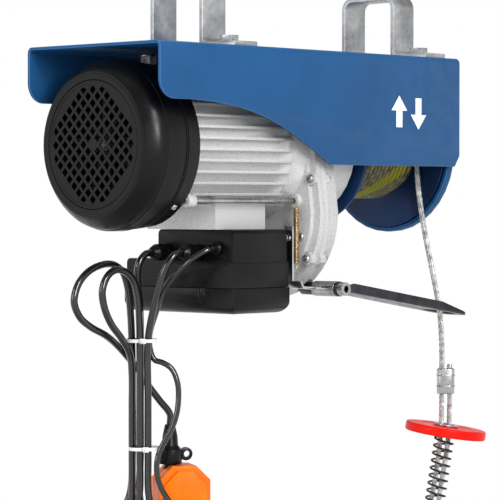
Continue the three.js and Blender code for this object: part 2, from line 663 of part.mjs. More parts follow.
// Forged hook: collared stem, then a tapering bowl, turned in the plane of local X and Z.
function forgedHook() {
  const centre = HOOK_TOP - 52;
  const bowl = 22;
  const route = [[0, HOOK_TOP - 4, 8], [0, HOOK_TOP - 14, 7.4]];
  const first = Math.PI * 0.42;
  const sweep = Math.PI * 1.42;
  const count = 12;
  for (let i = 0; i <= count; i += 1) {
    const t = first - i * sweep / count;
    const share = i / count;
    const thick = 7 + 2.6 * Math.sin(Math.PI * Math.min(1, share * 1.25)) - 3.4 * share ** 3;
    route.push([bowl * Math.cos(t), centre + bowl * Math.sin(t), thick]);
  }
  route.push([-bowl * 1.12, centre + 15, 3]);
  const sides = 8;
  const position = [];
  const index = [];
  route.forEach(([x, z, r], i) => {
    const before = route[Math.max(0, i - 1)];
    const after = route[Math.min(route.length - 1, i + 1)];
    const along = new THREE.Vector2(after[0] - before[0], after[1] - before[1]).normalize();
    for (let k = 0; k < sides; k += 1) {
      const a = k * Math.PI * 2 / sides;
      const out = r * 1.05 * Math.cos(a);
      position.push(x + along.y * out, r * 0.85 * Math.sin(a), z - along.x * out);
      if (i > 0) {
        const [p, q] = [(i - 1) * sides + k, (i - 1) * sides + (k + 1) % sides];
        index.push(p, q, p + sides, q, q + sides, p + sides);
      }
    }
  });
  for (const [row, flip] of [[0, true], [route.length - 1, false]]) {
    for (let k = 1; k < sides - 1; k += 1) {
      const face = [row * sides, row * sides + k, row * sides + k + 1];
      index.push(...(flip ? face.reverse() : face));
    }
  }
  const body = new THREE.BufferGeometry();
  body.setAttribute('position', new THREE.BufferAttribute(new Float32Array(position), 3));
  body.setIndex(index);
  const stem = spun([
    [0, HOOK_TOP - 6], [10, HOOK_TOP - 6], [10, HOOK_TOP - GAP], [6, HOOK_TOP - GAP],
    [6, HOOK_TOP + 9.3], [7.6, HOOK_TOP + 9.3], [7.6, HOOK_TOP + 14], [0, HOOK_TOP + 14],
  ], 16);
  const ear = rod('y', ...LATCH_PIVOT, 4, -2.6, 2.6, 12);
  const hook = shaped([body, stem, ear], [rod('y', ...LATCH_PIVOT, 1.8, -6, 6, 10)]);
  add('hook', hook, finish('dark', 0.5, 0.7), hookEnd);
}

// Sheet latch that shuts the throat, hinged on the ear beside the neck.
function hookLatch() {
  const [x, z] = LATCH_PIVOT;
  const tip = [-19, HOOK_TOP - 40];
  const along = Math.atan2(tip[1] - z, tip[0] - x);
  const length = Math.hypot(tip[0] - x, tip[1] - z);
  const arms = [-1, 1].map((s) => block(-2, 8, s * 3.6 - 0.6, s * 3.6 + 0.6, -3, 3));
  const tongue = block(5, length, -4.2, 4.2, -1, 1);
  const latch = shaped([tongue, ...arms, rod('y', 0, 0, 1.5, -4, 4, 10)]);
  latch.rotateY(-along).translate(x, 0, z);
  add('hook_latch', latch, zinc(), hookEnd);
}

// ---- limit lever ---------------------------------------------------------------------------

const lever = new THREE.Group();
lever.position.set(...LEVER_PIVOT);
lever.rotation.y = THREE.MathUtils.degToRad(LEVER_SLOPE);
group.add(lever);

// Flat arm with one turned-up edge, a barrel at the pivot and a slot that the rope runs through.
function limitLever() {
  const [near, far] = [-20, 20];
  const root = 9;
  const tip = LEVER_LENGTH;
  const outline = new THREE.Shape();
  outline.moveTo(root, near);
  outline.lineTo(tip - 14, near);
  outline.absarc(tip - 14, near + 14, 14, -Math.PI / 2, 0, false);
  outline.absarc(tip - 14, far - 14, 14, 0, Math.PI / 2, false);
  outline.lineTo(tip - 60, far);
  outline.lineTo(root, 14);
  const slot = new THREE.Path();
  slot.absarc(178, 0, 12.5, Math.PI / 2, Math.PI * 1.5, false);
  slot.absarc(197, 0, 12.5, -Math.PI / 2, Math.PI / 2, false);
  outline.holes.push(slot);
  const arm = prism('z', outline, -1.5, 1.5, 8);
  const lipShape = polygon([
    [root, -1.5], [tip - 9, -1.5], [tip - 12, 2], [tip - 50, 8], [root + 12, 8.5], [root, 4],
  ]);
  const lip = prism('y', lipShape, near, near + 3);
  const barrel = rod('y', 0, 0, 7, -15, 34, 20);
  const neck = block(4, root + 2, near + 5.2, 14, -1.5, 1.5);
  const bore = rod('y', 0, 0, 4.4, -30, 50, 16);
  add('limit_lever', shaped([arm, lip, barrel, neck], [bore]), finish('dark', 0.4, 0.8), lever);
}

// Bent strip from the barrel up beside the control box, where it pushes the switch plunger.
function leverStrap() {
  const [px, , pz] = LEVER_PIVOT;
  const upright = polygon([
    [-10.5, -184], [-8.5, -184], [-8.5, -240], [-4.5, -246.5], [2, pz + 3], [2, pz + 0.2], [-5.5, -248.8],
    [-10.5, -241],
  ]);
  const leg = polygon([
    [-9, -241], [-4.5, -246.5], [px - 7.6, pz + 0.8], [px - 7.6, pz - 1.4], [-5.5, -248.8], [-10.5, -241],
  ]);
  add('lever_strap', shaped([prism('y', upright, -69, -58), prism('y', leg, -80, -58)]), zinc());
}

function pivotScrew() {
  const [x, y, z] = LEVER_PIVOT;
  const joined = [
    rod('y', x, z, 4, y - 19, y + 43, 16),
    rod('y', x, z, 6.6, y - 27, y - 18.5, 20),
    rod('y', x, z, 8, y - 18.7, y - 16.6, 20),
  ];
  add('pivot_screw', shaped(joined, [prism('y', hexagon(x, z, 6), y - 28, y - 22)]), steel());
}

const SPRING_X = -4.6;
const SPRING_Y = -69;

function returnSpring() {
  const coil = rod('z', SPRING_X, SPRING_Y, 3, -224, -167, 16);
  add('return_spring', coil, finish('brass', 0.4, 0.8));
}

// ---- control box ---------------------------------------------------------------------------

function controlBox() {
  const b = BOX;
  const upper = prism('x', roundedBox(b.near, b.far, b.step - 6, b.top, 5), b.left, b.right, 4);
  const lower = prism('x', roundedBox(b.near, LID_FAR - 3, b.split, b.step, 5), b.left - 1, b.right + 3, 4);
  const foot = block(b.left - 1, b.right + 3, b.near, LID_FAR - 3, b.split, b.split + 8);
  const ear = rod('z', b.left + 20, LID_FAR + 1, 6, b.split, b.split + 5, 16);
  const inside = [b.left + WALL, b.right - WALL, b.near + WALL];
  const hollows = [
    block(...inside, b.far - WALL, b.split - 1, b.top - WALL),
    block(...inside, LID_FAR - 3 - WALL, b.split - 1, b.step - WALL),
    ...CORD_EXITS.map(([y, z, r]) => rod('x', y, z, r + GAP, b.left - 3, b.left + 4, 16)),
    rod('x', PLUNGER[0], PLUNGER[1], 2.8, b.right - 4, b.right + 4, 12),
  ];
  add('box_body', shaped([upper, lower, foot, ear], hollows), plastic());
  const rim = b.split - GAP;
  const section = roundedBox(b.near - 1, LID_FAR, b.bottom, rim + 20, 12);
  const front = roundedBox(b.left - 2, b.right + 4, b.bottom, rim + 20, 12);
  const tray = common(
    prism('x', section, b.left - 2, b.right + 4, 6), prism('y', front, b.near - 1, LID_FAR, 6),
  );
  const lidCut = [
    block(b.left - 9, b.right + 9, b.near - 9, LID_FAR + 9, rim, rim + 30),
    block(b.left + 1, b.right + 1, b.near + 2, LID_FAR - 3, b.bottom + 9, rim + 1),
    block(b.left + 5, b.right - 3, b.near + 8, LID_FAR - 9, b.bottom + 5, rim + 1),
  ];
  const joined = [tray, rod('z', b.left - 0.5, -22, 5, b.bottom + 18, rim, 14)];
  add('box_lid', shaped(joined, lidCut), plastic());
}

const PLUNGER = [-60, -196];           // y and z of the limit switch's plunger
const CORD_EXITS = [[30, -211, 6], [-14, -211, 6], [-44, -206, 4.4]];

function boxInside() {
  const b = BOX;
  add('capacitor', rod('x', 20, -229, 16.5, b.left + 16, b.right - 14, 24), finish('steel', 0.4, 0.5));
  const [y, z] = PLUNGER;
  const switchBody = block(b.right - 30, b.right - 9, y - 3.2, y + 26, z - 10, z + 6);
  const bore = rod('x', y, z, 2.8, b.right - 20, b.right, 12);
  add('limit_switch', shaped([switchBody], [bore]), plastic());
  const plunger = shaped([rod('x', y, z, 2.4, b.right - 14, -11.2, 12), rod('x', y, z, 4, -12.8, -11, 12)]);
  add('switch_plunger', plunger, steel());
}

// Cable gland: threaded shank, hexagon and domed cap around the cord.
function gland(name, [y, z]) {
  const x = BOX.left;
  const joined = [
    turned([[x + 3, 0], [x + 3, 6], [x - 1.5, 6], [x - 1.5, 0]], 12),
    prism('x', hexagon(0, 0, 17), x - 8, x - 1.4),
    turned([[x - 8, 0], [x - 8, 8.8], [x - 18, 8.4], [x - 24, 5.2], [x - 24, 0]], 14),
  ];
  const cut = [turned([[x - 26, 0], [x - 26, CORD / 2 + GAP], [x + 5, CORD / 2 + GAP], [x + 5, 0]], 12)];
  add(name, shaped(joined, cut), plastic()).position.set(0, y, z);
}

// ---- cords ---------------------------------------------------------------------------------

// The cords hang in one bundle, drawn in its own axes: across, deep and up.
const bundle = new THREE.Group();
bundle.position.set(-136, 30, 0);
bundle.rotation.z = THREE.MathUtils.degToRad(-46.2);
group.add(bundle);

// Gland, down the bundle, a fold below, up to the outer loop and round to the pendant's boot.
const CONTROL_ROUTE = [
  [10.9, 11.3, -211], [4.9, 5, -213], [-1.1, 0.2, -222], [-3, 1, -239], [-1, 7, -262], [0, 8.5, -285],
  [0, 8.5, -315], [0, 8.5, -360], [0, 8.5, -420], [-1, 8.5, -465], [5, 8.5, -495], [11, 8.5, -522],
  [7, 8.5, -546], [-14, 8.5, -560], [-36, 8.5, -546], [-40, 8.5, -522], [-29, 8.5, -495],
  [-12, 8.5, -465], [-8.5, 8.5, -420], [-8.5, 8.5, -360], [-9, 8.5, -305], [-10.5, 8, -272],
  [-13, 4.5, -248], [-18, -2, -231], [-27, -14.5, -223], [-38.5, -30, -223], [-51.5, -45, -230],
  [-61, -55, -243], [-64.5, -58.5, -260], [-59.5, -52, -275], [-49.5, -37, -286], [-35, -16, -296],
  [-25, 1.5, -306], [-14.5, 15.5, -319], [-2, 20, -335], [8, 21.5, -351], [19, 24.5, -366],
  [30, 28, -381], [30, 28, -391.5],
];

// Gland, down the bundle, a fold below, up to the inner loop and down to the plug.
const MAINS_ROUTE = [
  [42.6, -19.1, -211], [36.6, -25.3, -213], [29.5, -28, -222], [22, -26, -240], [14.5, -17.5, -268],
  [8.5, -8.5, -302], [8.5, -8.5, -360], [8.5, -8.5, -420], [9.5, -8.5, -465], [19, -8.5, -500],
  [29, -8.5, -530], [26, -8.5, -556], [4, -8.5, -572], [-18, -8.5, -556], [-21, -8.5, -530],
  [-11, -8.5, -500], [-1, -8.5, -465], [0, -8.5, -420], [0, -8.5, -360], [0, -8.5, -305],
  [-0.5, -9, -280], [-2, -10.5, -256], [-6.5, -15.5, -239], [-14.5, -23.5, -230], [-23.5, -33, -228],
  [-31.5, -41.5, -234], [-36.5, -46.5, -248], [-35, -44, -265], [-28.5, -34, -283],
  [-18.5, -19.5, -299], [-10.5, -5, -316], [-8.5, 0, -337], [-8.5, 0, -370], [-8.5, 0, -420],
  [-8.5, 0, -470], [-9, 0, -530], [-9, 0, -592],
];

// Bush, down the bundle, out in a side loop, past the pendant's front and up into its foot.
const STOP_ROUTE = [
  [75.4, -28.3, -206], [69.3, -31.8, -208], [56, -33, -216], [39.5, -25.5, -231], [25.5, -13.5, -248],
  [17, -6.5, -272], [10, -1, -296], [10.5, -1.5, -311], [15, -2, -322], [23.5, -3, -325],
  [32.5, -4, -331], [38.5, -5, -344], [40, -6, -360], [37.5, -8, -380], [31.5, -10, -396],
  [24, -12, -409], [18.5, -13.5, -423], [18, -14, -440], [23, -13.5, -456], [32, -13, -471],
  [39, -14, -492], [42, -17, -520], [44, -22, -555], [45, -22, -580], [44.5, -11, -601], [43, 7, -608],
  [41, 23.5, -599], [40.7, 30, -585], [40.7, 30, -575.5],
];
const STOP_CORD = 6;

function cords() {
  const rubber = () => finish('black', 0.35, 0);
  add('control_cord', tube(CONTROL_ROUTE, CORD, 52), rubber(), bundle);
  add('mains_cord', tube(MAINS_ROUTE, CORD, 58), rubber(), bundle);
  add('stop_cord', tube(STOP_ROUTE, STOP_CORD, 36), rubber(), bundle);
  const end = MAINS_ROUTE[MAINS_ROUTE.length - 1][2] - GAP;
  const plug = shaped([
    spun([[0, 0], [5.4, 0], [7, -14], [11, -22], [19, -28], [20, -50], [18, -54], [0, -54]], 20),
    ...[-9.5, 9.5].map((x) => rod('z', x, 0, 2.4, -73, -53, 10)),
  ]);
  add('mains_plug', plug, plastic(), bundle).position.set(-9, 0, end);
}

// ---- pendant -------------------------------------------------------------------------------

const pendant = new THREE.Group();
pendant.position.set(40.7, 30, PENDANT.top);
pendant.rotation.z = THREE.MathUtils.degToRad(16.2);
bundle.add(pendant);

function pendantOutline(inset) {
  const [half, low, top] = [PENDANT.width / 2 - inset, -PENDANT.height + inset, -inset];
  const chamfer = 15;
  return polygon([
    [-half, low + 8], [-half + 8, low], [half - 8, low], [half, low + 8], [half, top - chamfer],
    [half - chamfer, top], [-half + chamfer, top], [-half, top - chamfer],
  ]);
}

// Two moulded shells that part on the middle plane, hollow behind the button and the rocker.
function pendantShells() {
  const half = PENDANT.depth / 2;
  const front = [
    prism('y', pendantOutline(0), -half + 5, -GAP / 2),
    prism('y', pendantOutline(5), -half, -half + 6),
  ];
  const frontCut = [
    prism('y', pendantOutline(3.5), -half + 8, 1),
    prism('y', pendantOutline(7), -half + 3, 1),
    rod('y', 0, BUTTON_Z, 9.3, -half - 1, 0, 20),
    block(-11.3, 11.3, -half - 1, 0, ROCKER_Z - 20.3, ROCKER_Z + 20.3),
    rod('z', 0, 0, STOP_CORD / 2 + 1.5 + GAP, -PENDANT.height - 1, -PENDANT.height + 9, 16),
    rod('z', bootPlace()[0], bootPlace()[1], 6.8, -9, 1, 16),
  ];
  add('pendant_front', shaped(front, frontCut), finish('orange', 0.35, 0), pendant);
  const back = [
    prism('y', pendantOutline(0), GAP / 2, half - 5),
    prism('y', pendantOutline(5), half - 6, half),
  ];
  const backCut = [
    prism('y', pendantOutline(3.5), -1, half - 8),
    prism('y', pendantOutline(7), -1, half - 3),
    rod('z', 0, 0, STOP_CORD / 2 + 1.5 + GAP, -PENDANT.height - 1, -PENDANT.height + 9, 16),
    rod('z', bootPlace()[0], bootPlace()[1], 6.8, -9, 1, 16),
  ];
  add('pendant_back', shaped(back, backCut), finish('orange', 0.35, 0), pendant);
}

const BUTTON_Z = -53;
const ROCKER_Z = -97;

// Collar with the hanging eye and a ribbed boot that the control cord enters.
function pendantBoot() {
  const top = -391.5 - GAP - PENDANT.top;
  const turnedBoot = spun([
    [0, -3], [6.4, -3], [6.4, 1.2], [12.5, 1.2], [12.5, 16], [9, 20], [8.6, 21], [8, 30], [5.4, top],
    [0, top],
  ], 20);
  const eye = prism('y', circle(17, 11, 7), -2.2, 2.2, 8);
  const hole = rod('y', 18, 11, 3.4, -5, 5, 12);
  const arm = block(8, 16, -2.2, 2.2, 5, 16);
  const boot = shaped([turnedBoot, eye, arm], [hole]);
  add('pendant_boot', boot, plastic(), pendant).position.set(...bootPlace());
}

function bootPlace() {
  const turn = -pendant.rotation.z;
  const [across, deep] = [30 - 40.7, 28 - 30];
  return [
    across * Math.cos(turn) - deep * Math.sin(turn), across * Math.sin(turn) + deep * Math.cos(turn), 0,
  ];
}

function pendantControls() {
  const half = PENDANT.depth / 2;
  const stop = shaped([
    rod('y', 0, BUTTON_Z, 9, -half - 6, -6, 20),
    rod('y', 0, BUTTON_Z, 15, -half - 14, -half - 5.5, 28),
  ]);
  add('stop_button', stop, finish('red', 0.35, 0), pendant);
  const reach = 19;
  const side = polygon([
    [-half + 4, -reach], [-half - 3, -reach], [-half, 0], [-half - 3, reach], [-half + 4, reach],
    [-8, 3], [-8, -3],
  ]);
  const rocker = prism('x', side, -11, 11).translate(0, 0, ROCKER_Z);
  add('rocker', rocker, plastic(), pendant);
  const cone = spun([[0, 0], [STOP_CORD / 2 + 1.5, 0], [7, -2], [5, -12.5], [0, -12.5]], 16);
  const bush = shaped([cone], [rod('z', 0, 0, STOP_CORD / 2 + GAP, -20, -6, 12)]);
  bush.translate(0, 0, -PENDANT.height - GAP);
  add('foot_bush', bush, plastic(), pendant);
}

// ---- assembly ------------------------------------------------------------------------------

frameChannel();
drumEndPlate();
BRACKET_X.forEach((x, i) => {
  beamBracket(`beam_bracket_${i + 1}`, x);
  [-BOLT_Y, BOLT_Y].forEach((y, j) => bracketBolt(`bracket_bolt_${2 * i + j + 1}`, x, y));
});
motorHousing();
motorInside();
coolingFan();
fanCover();
fanGrille();
tieRod('tie_rod_near', -1);
tieRod('tie_rod_far', 1);
gearboxHousing();
gearboxCover();
gears();
drumParts();
ropeFall();
ferrule();
ropeEye();
stopDisc();
bufferSpring();
hookYoke();
forgedHook();
hookLatch();
limitLever();
leverStrap();
pivotScrew();
returnSpring();
controlBox();
boxInside();
gland('gland_far', CORD_EXITS[0]);
gland('gland_near', CORD_EXITS[1]);
cords();
pendantShells();
pendantBoot();
pendantControls();

export default group;
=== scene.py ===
"""Looks of an electric wire rope hoist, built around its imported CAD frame.

Blender works in metres; every size and place below is in millimetres, in the part's own frame:
the origin is the centre of the top plate's upper face, +X runs from the fan to the drum, -Y is the
rope's side and +Z is up. The helpers turn millimetres into metres.
"""
import json
import math

import bpy
from mathutils import Matrix, Quaternion, Vector


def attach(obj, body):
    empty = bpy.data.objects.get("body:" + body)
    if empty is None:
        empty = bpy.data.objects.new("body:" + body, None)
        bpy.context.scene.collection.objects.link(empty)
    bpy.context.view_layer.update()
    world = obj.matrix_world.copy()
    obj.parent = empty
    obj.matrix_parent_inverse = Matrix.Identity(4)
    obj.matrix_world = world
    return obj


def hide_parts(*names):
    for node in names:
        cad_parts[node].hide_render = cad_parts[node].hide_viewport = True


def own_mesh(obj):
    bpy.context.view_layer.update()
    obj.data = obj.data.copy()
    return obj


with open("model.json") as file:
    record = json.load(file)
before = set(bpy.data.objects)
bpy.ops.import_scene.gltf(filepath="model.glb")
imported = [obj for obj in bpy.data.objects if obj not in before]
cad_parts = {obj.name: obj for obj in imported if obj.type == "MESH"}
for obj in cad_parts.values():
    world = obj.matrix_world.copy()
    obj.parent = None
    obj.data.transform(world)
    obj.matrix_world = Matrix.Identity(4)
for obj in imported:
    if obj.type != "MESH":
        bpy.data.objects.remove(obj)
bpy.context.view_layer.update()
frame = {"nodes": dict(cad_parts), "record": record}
nodes = frame["nodes"]

MM = 0.001
AXIS_Z = -101.0
COVER_LEFT = -231.0
COVER_RADIUS = 87.0
GRILLE_RADIUS = 65.0
DRUM_LEFT = 94.0
DRUM_RIGHT = 221.0
DRUM_CORE = 42.0
ROPE = 6.0
CORD = 7.5
STOP_CORD = 6.0
LEG = 4.4
DISC_CENTRE = Vector((233.5, -76, -413))
DISC_RADIUS = 45.0
SEAT_Z = -92.0
HOOK_TURN = Quaternion(Vector((0.7227, 0.6912, 0)).normalized(), math.radians(8.5))
FERRULE_TOP = Vector((233.5, -76, -344))
FERRULE_HEIGHT = 28.0
BUNDLE_AT = Vector((-136, 30, 0))
BUNDLE_TURN = Matrix.Rotation(math.radians(-46.2), 3, "Z")
PENDANT_AT = Vector((40.7, 30, -434))
PENDANT_TURN = Matrix.Rotation(math.radians(16.2), 3, "Z")
LEVER_PIVOT = Vector((36, -76, -250))
BUTTON_Z = -53.0                       # stop button and rocker, from the pendant's top
ROCKER_Z = -97.0


# ---- camera and light ------------------------------------------------------------------------

def camera():
    data = bpy.data.cameras.new("camera")
    data.lens = 181.8
    data.sensor_width = 36
    seen = bpy.data.objects.new("camera", data)
    seen.location = Vector((-1948.8, -1861.7, -157.4)) * MM
    forward = Vector((0.7225, 0.6911, -0.0194))
    seen.rotation_euler = forward.to_track_quat("-Z", "Y").to_euler()
    bpy.context.scene.collection.objects.link(seen)
    bpy.context.scene.camera = seen


def area_light(name, place, target, size, power):
    data = bpy.data.lights.new(name, "AREA")
    data.shape = "RECTANGLE"
    data.size, data.size_y = size
    data.energy = power
    lamp = bpy.data.objects.new(name, data)
    lamp.location = place
    lamp.rotation_euler = (Vector(target) - Vector(place)).to_track_quat("-Z", "Y").to_euler()
    bpy.context.scene.collection.objects.link(lamp)


def studio():
    """White walls all round with a darker ceiling, two soft lamps in front and one above."""
    world = bpy.data.worlds.new("studio")
    world.use_nodes = True
    tree = world.node_tree
    sky = tree.nodes["Background"]
    sky.inputs["Strength"].default_value = 1.0
    place = tree.nodes.new("ShaderNodeTexCoord")
    split = tree.nodes.new("ShaderNodeSeparateXYZ")
    height = tree.nodes.new("ShaderNodeMapRange")
    height.inputs["From Min"].default_value = -1.0
    height.inputs["From Max"].default_value = 1.0
    ramp = tree.nodes.new("ShaderNodeValToRGB")
    stops = [(0.0, 0.45), (0.08, 0.5), (0.22, 1.0), (0.6, 1.0), (0.68, 0.34), (1.0, 0.3)]
    while len(ramp.color_ramp.elements) < len(stops):
        ramp.color_ramp.elements.new(0.5)
    for element, (at, grey) in zip(ramp.color_ramp.elements, stops):
        element.position = at
        element.color = (grey, grey, grey, 1)
    tree.links.new(place.outputs["Generated"], split.inputs["Vector"])
    tree.links.new(split.outputs["Z"], height.inputs["Value"])
    tree.links.new(height.outputs["Result"], ramp.inputs["Fac"])
    tree.links.new(ramp.outputs["Color"], sky.inputs["Color"])
    bpy.context.scene.world = world
    middle = (0, 0, -0.2)
    area_light("key", (-0.9, -2.3, 0.9), middle, (0.5, 1.5), 64)
    area_light("side", (-2.3, 0.4, 0.5), middle, (0.4, 1.4), 20)
    area_light("top", (0.2, 0.3, 2.2), middle, (1.4, 1.4), 34)
    bpy.context.scene.view_settings.view_transform = "Standard"


# ---- mesh helpers ----------------------------------------------------------------------------

def link(obj):
    bpy.context.scene.collection.objects.link(obj)
    return obj


def mesh_piece(name, points, faces, crease=35):
    mesh = bpy.data.meshes.new(name)
    mesh.from_pydata([tuple(Vector(p) * MM) for p in points], [], faces)
    mesh.validate()
    mesh.polygons.foreach_set("use_smooth", [True] * len(mesh.polygons))
    mesh.set_sharp_from_angle(angle=math.radians(crease))
    mesh.update()
    return link(bpy.data.objects.new(name, mesh))


def fit(piece, material, body="root", replaced=()):
    """Gives a piece its material and its body, and hides the CAD nodes it stands for."""
    piece.data.materials.append(material)
    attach(piece, body)
    if replaced:
        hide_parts(*replaced)
    return piece


def about_x(x, r, angle):
    return Vector((x, r * math.cos(angle), AXIS_Z + r * math.sin(angle)))


def lathe(name, profile, place, segments=96, crease=35):
    """Turns a profile of (along, radius) points; one that meets the axis at both ends is closed there."""
    points, rows = [], []
    for along, radius in profile:
        if radius < 1e-6:
            rows.append([len(points)] * segments)
            points.append(place(along, 0, 0))
            continue
        rows.append(list(range(len(points), len(points) + segments)))
        points += [place(along, radius, i * math.tau / segments) for i in range(segments)]
    faces = []
    pairs = list(zip(rows, rows[1:]))
    if profile[0][1] > 1e-6:
        pairs.append((rows[-1], rows[0]))
    for first, second in pairs:
        for i in range(segments):
            j = (i + 1) % segments
            corners = [first[i], first[j], second[j], second[i]]
            faces.append([c for k, c in enumerate(corners) if c not in corners[:k]])
    faces = [f for f in faces if len(f) > 2]
    piece = mesh_piece(name, points, faces, crease)
    outward(piece)
    return piece


def outward(piece):
    """Turns the faces of a closed mesh outwards."""
    mesh = piece.data
    mesh.calc_loop_triangles()
    volume = 0
    for triangle in mesh.loop_triangles:
        a, b, c = [mesh.vertices[i].co for i in triangle.vertices]
        volume += a.dot(b.cross(c))
    if volume < 0:
        mesh.flip_normals()


def rounded(profile, radius, steps=4):
    """A closed (along, radius) profile with each of its corners rounded, where there is room."""
    out = []
    count = len(profile)
    for i, point in enumerate(profile):
        here = Vector(point)
        before = Vector(profile[i - 1]) - here
        after = Vector(profile[(i + 1) % count]) - here
        on_axis = here.y < 1e-6
        reach = min(radius, before.length * 0.45, after.length * 0.45)
        if on_axis or reach < 0.02:
            out.append(tuple(here))
            continue
        start = here + before.normalized() * reach
        end = here + after.normalized() * reach
        for k in range(steps + 1):
            t = k / steps
            out.append(tuple(start * (1 - t) ** 2 + here * 2 * t * (1 - t) + end * t * t))
    return out


def catmull(points, per_span):
    """Points on the centripetal Catmull-Rom curve through the given ones."""
    knots = [Vector(p) for p in points]
    knots = [knots[0] * 2 - knots[1]] + knots + [knots[-1] * 2 - knots[-2]]
    out = []
    for p0, p1, p2, p3 in zip(knots, knots[1:], knots[2:], knots[3:]):
        d0, d1, d2 = [max((b - a).length, 1e-6) ** 0.5 for a, b in ((p0, p1), (p1, p2), (p2, p3))]
        m1 = ((p1 - p0) / d0 - (p2 - p0) / (d0 + d1) + (p2 - p1) / d1) * d1
        m2 = ((p2 - p1) / d1 - (p3 - p1) / (d1 + d2) + (p3 - p2) / d2) * d1
        for k in range(per_span):
            t = k / per_span
            out.append(
                p1 * (2 * t**3 - 3 * t**2 + 1) + m1 * (t**3 - 2 * t**2 + t)
                + p2 * (3 * t**2 - 2 * t**3) + m2 * (t**3 - t**2)
            )
    out.append(knots[-2])
    return out


def resampled(points, step):
    """The same line with points an equal step apart."""
    total = sum((b - a).length for a, b in zip(points, points[1:]))
    count = max(2, round(total / step))
    gap = total / count
    out, walked, wanted = [points[0].copy()], 0.0, gap
    for a, b in zip(points, points[1:]):
        span = (b - a).length
        while walked + span >= wanted - 1e-9 and len(out) < count:
            out.append(a.lerp(b, (wanted - walked) / span))
            wanted += gap
        walked += span
    out.append(points[-1].copy())
    return out


def frames(path):
    """A side and a top direction at each point of a path, carried along without twisting."""
    tangents = []
    for i in range(len(path)):
        tangents.append((path[min(i + 1, len(path) - 1)] - path[max(i - 1, 0)]).normalized())
    side = tangents[0].orthogonal().normalized()
    out = []
    for tangent in tangents:
        side = (side - tangent * side.dot(tangent)).normalized()
        out.append((side, tangent.cross(side)))
    return out


def sweep(name, paths, radius, sides=10, crease=60):
    """Round bars along paths; radius is a number, or a function of (step, angle)."""
    size = radius if callable(radius) else (lambda step, angle: radius)
    points, faces = [], []
    for path in paths:
        base = len(points)
        for i, (here, (side, top)) in enumerate(zip(path, frames(path))):
            for k in range(sides):
                a = k * math.tau / sides
                points.append(here + (side * math.cos(a) + top * math.sin(a)) * size(i, a))
        for i in range(len(path) - 1):
            for k in range(sides):
                n = (k + 1) % sides
                row, above = base + i * sides, base + (i + 1) * sides
                faces.append([row + k, row + n, above + n, above + k])
        faces.append([base + k for k in reversed(range(sides))])
        faces.append([base + (len(path) - 1) * sides + k for k in range(sides)])
    return mesh_piece(name, points, faces, crease)


def strands(path, radius, lay=38.0, count=6):
    """The centre lines of the strands of a rope that is laid along a path."""
    bare = resampled(path, 1.6)
    step = sum((b - a).length for a, b in zip(bare, bare[1:])) / (len(bare) - 1)
    around = frames(bare)
    out = []
    for n in range(count):
        line = []
        for i, (here, (side, top)) in enumerate(zip(bare, around)):
            a = n * math.tau / count + i * step * math.tau / lay
            line.append(here + (side * math.cos(a) + top * math.sin(a)) * radius * 2 / 3)
        out.append(line)
    return out


def plate(name, outlines, low, high, edge, place, fineness=2):
    """A flat plate with rounded edges: the first outline is its rim, the others are holes."""
    data = bpy.data.curves.new(name, "CURVE")
    data.dimensions = "2D"
    data.fill_mode = "BOTH"
    for outline in outlines:
        spline = data.splines.new("POLY")
        spline.points.add(len(outline) - 1)
        for point, (a, b) in zip(spline.points, outline):
            point.co = (a * MM, b * MM, 0, 1)
        spline.use_cyclic_u = True
    data.extrude = (high - low) / 2 * MM - edge * MM
    data.bevel_depth = edge * MM
    data.bevel_resolution = fineness
    data.offset = -edge * MM
    drawn = link(bpy.data.objects.new(name + "_outline", data))
    bpy.context.view_layer.update()
    mesh = bpy.data.meshes.new_from_object(drawn.evaluated_get(bpy.context.evaluated_depsgraph_get()))
    bpy.data.objects.remove(drawn)
    points = [place(v.co.x / MM, v.co.y / MM, v.co.z / MM + (low + high) / 2) for v in mesh.vertices]
    faces = [list(face.vertices) for face in mesh.polygons]
    bpy.data.meshes.remove(mesh)
    return mesh_piece(name, points, faces, 40)


def ring_points(a, b, radius, count=96, start=0.0, sweep_angle=math.tau):
    ring = []
    for i in range(count):
        angle = start + i * sweep_angle / count
        ring.append((a + radius * math.cos(angle), b + radius * math.sin(angle)))
    return ring


def refine(name, width, segments=3, angle=32, edge=None):
    """Rounds a CAD node's edges with modifiers, after its flat faces are each made one face.

    An edge material, a painted highlight, goes on the rounded strips.
    """
    node = nodes[name]
    weld = node.modifiers.new("weld", "WELD")
    weld.merge_threshold = 1e-5
    flat = node.modifiers.new("flat_faces", "DECIMATE")
    flat.decimate_type = "DISSOLVE"
    flat.angle_limit = math.radians(0.5)
    bevel = node.modifiers.new("rounding", "BEVEL")
    bevel.width = width * MM
    bevel.segments = segments
    bevel.limit_method = "ANGLE"
    bevel.angle_limit = math.radians(angle)
    bevel.use_clamp_overlap = True
    bevel.harden_normals = True
    node.data.polygons.foreach_set("use_smooth", [True] * len(node.data.polygons))
    if edge:
        node.data.materials.append(edge)
        bevel.material = 1


# ---- materials -------------------------------------------------------------------------------

def linear(rgb, gain=1.0):
    out = []
    for value in rgb:
        c = value / 255
        c = c / 12.92 if c <= 0.04045 else ((c + 0.055) / 1.055) ** 2.4
        out.append(min(c * gain, 1.0))
    return (*out, 1.0)


def tones(rgb, places, dark, light):
    """Ramp stops from a darker to a lighter tone, with the plain colour between them."""
    low, middle, high = places
    return [(low, linear(rgb, dark)), (middle, linear(rgb)), (high, linear(rgb, light))]


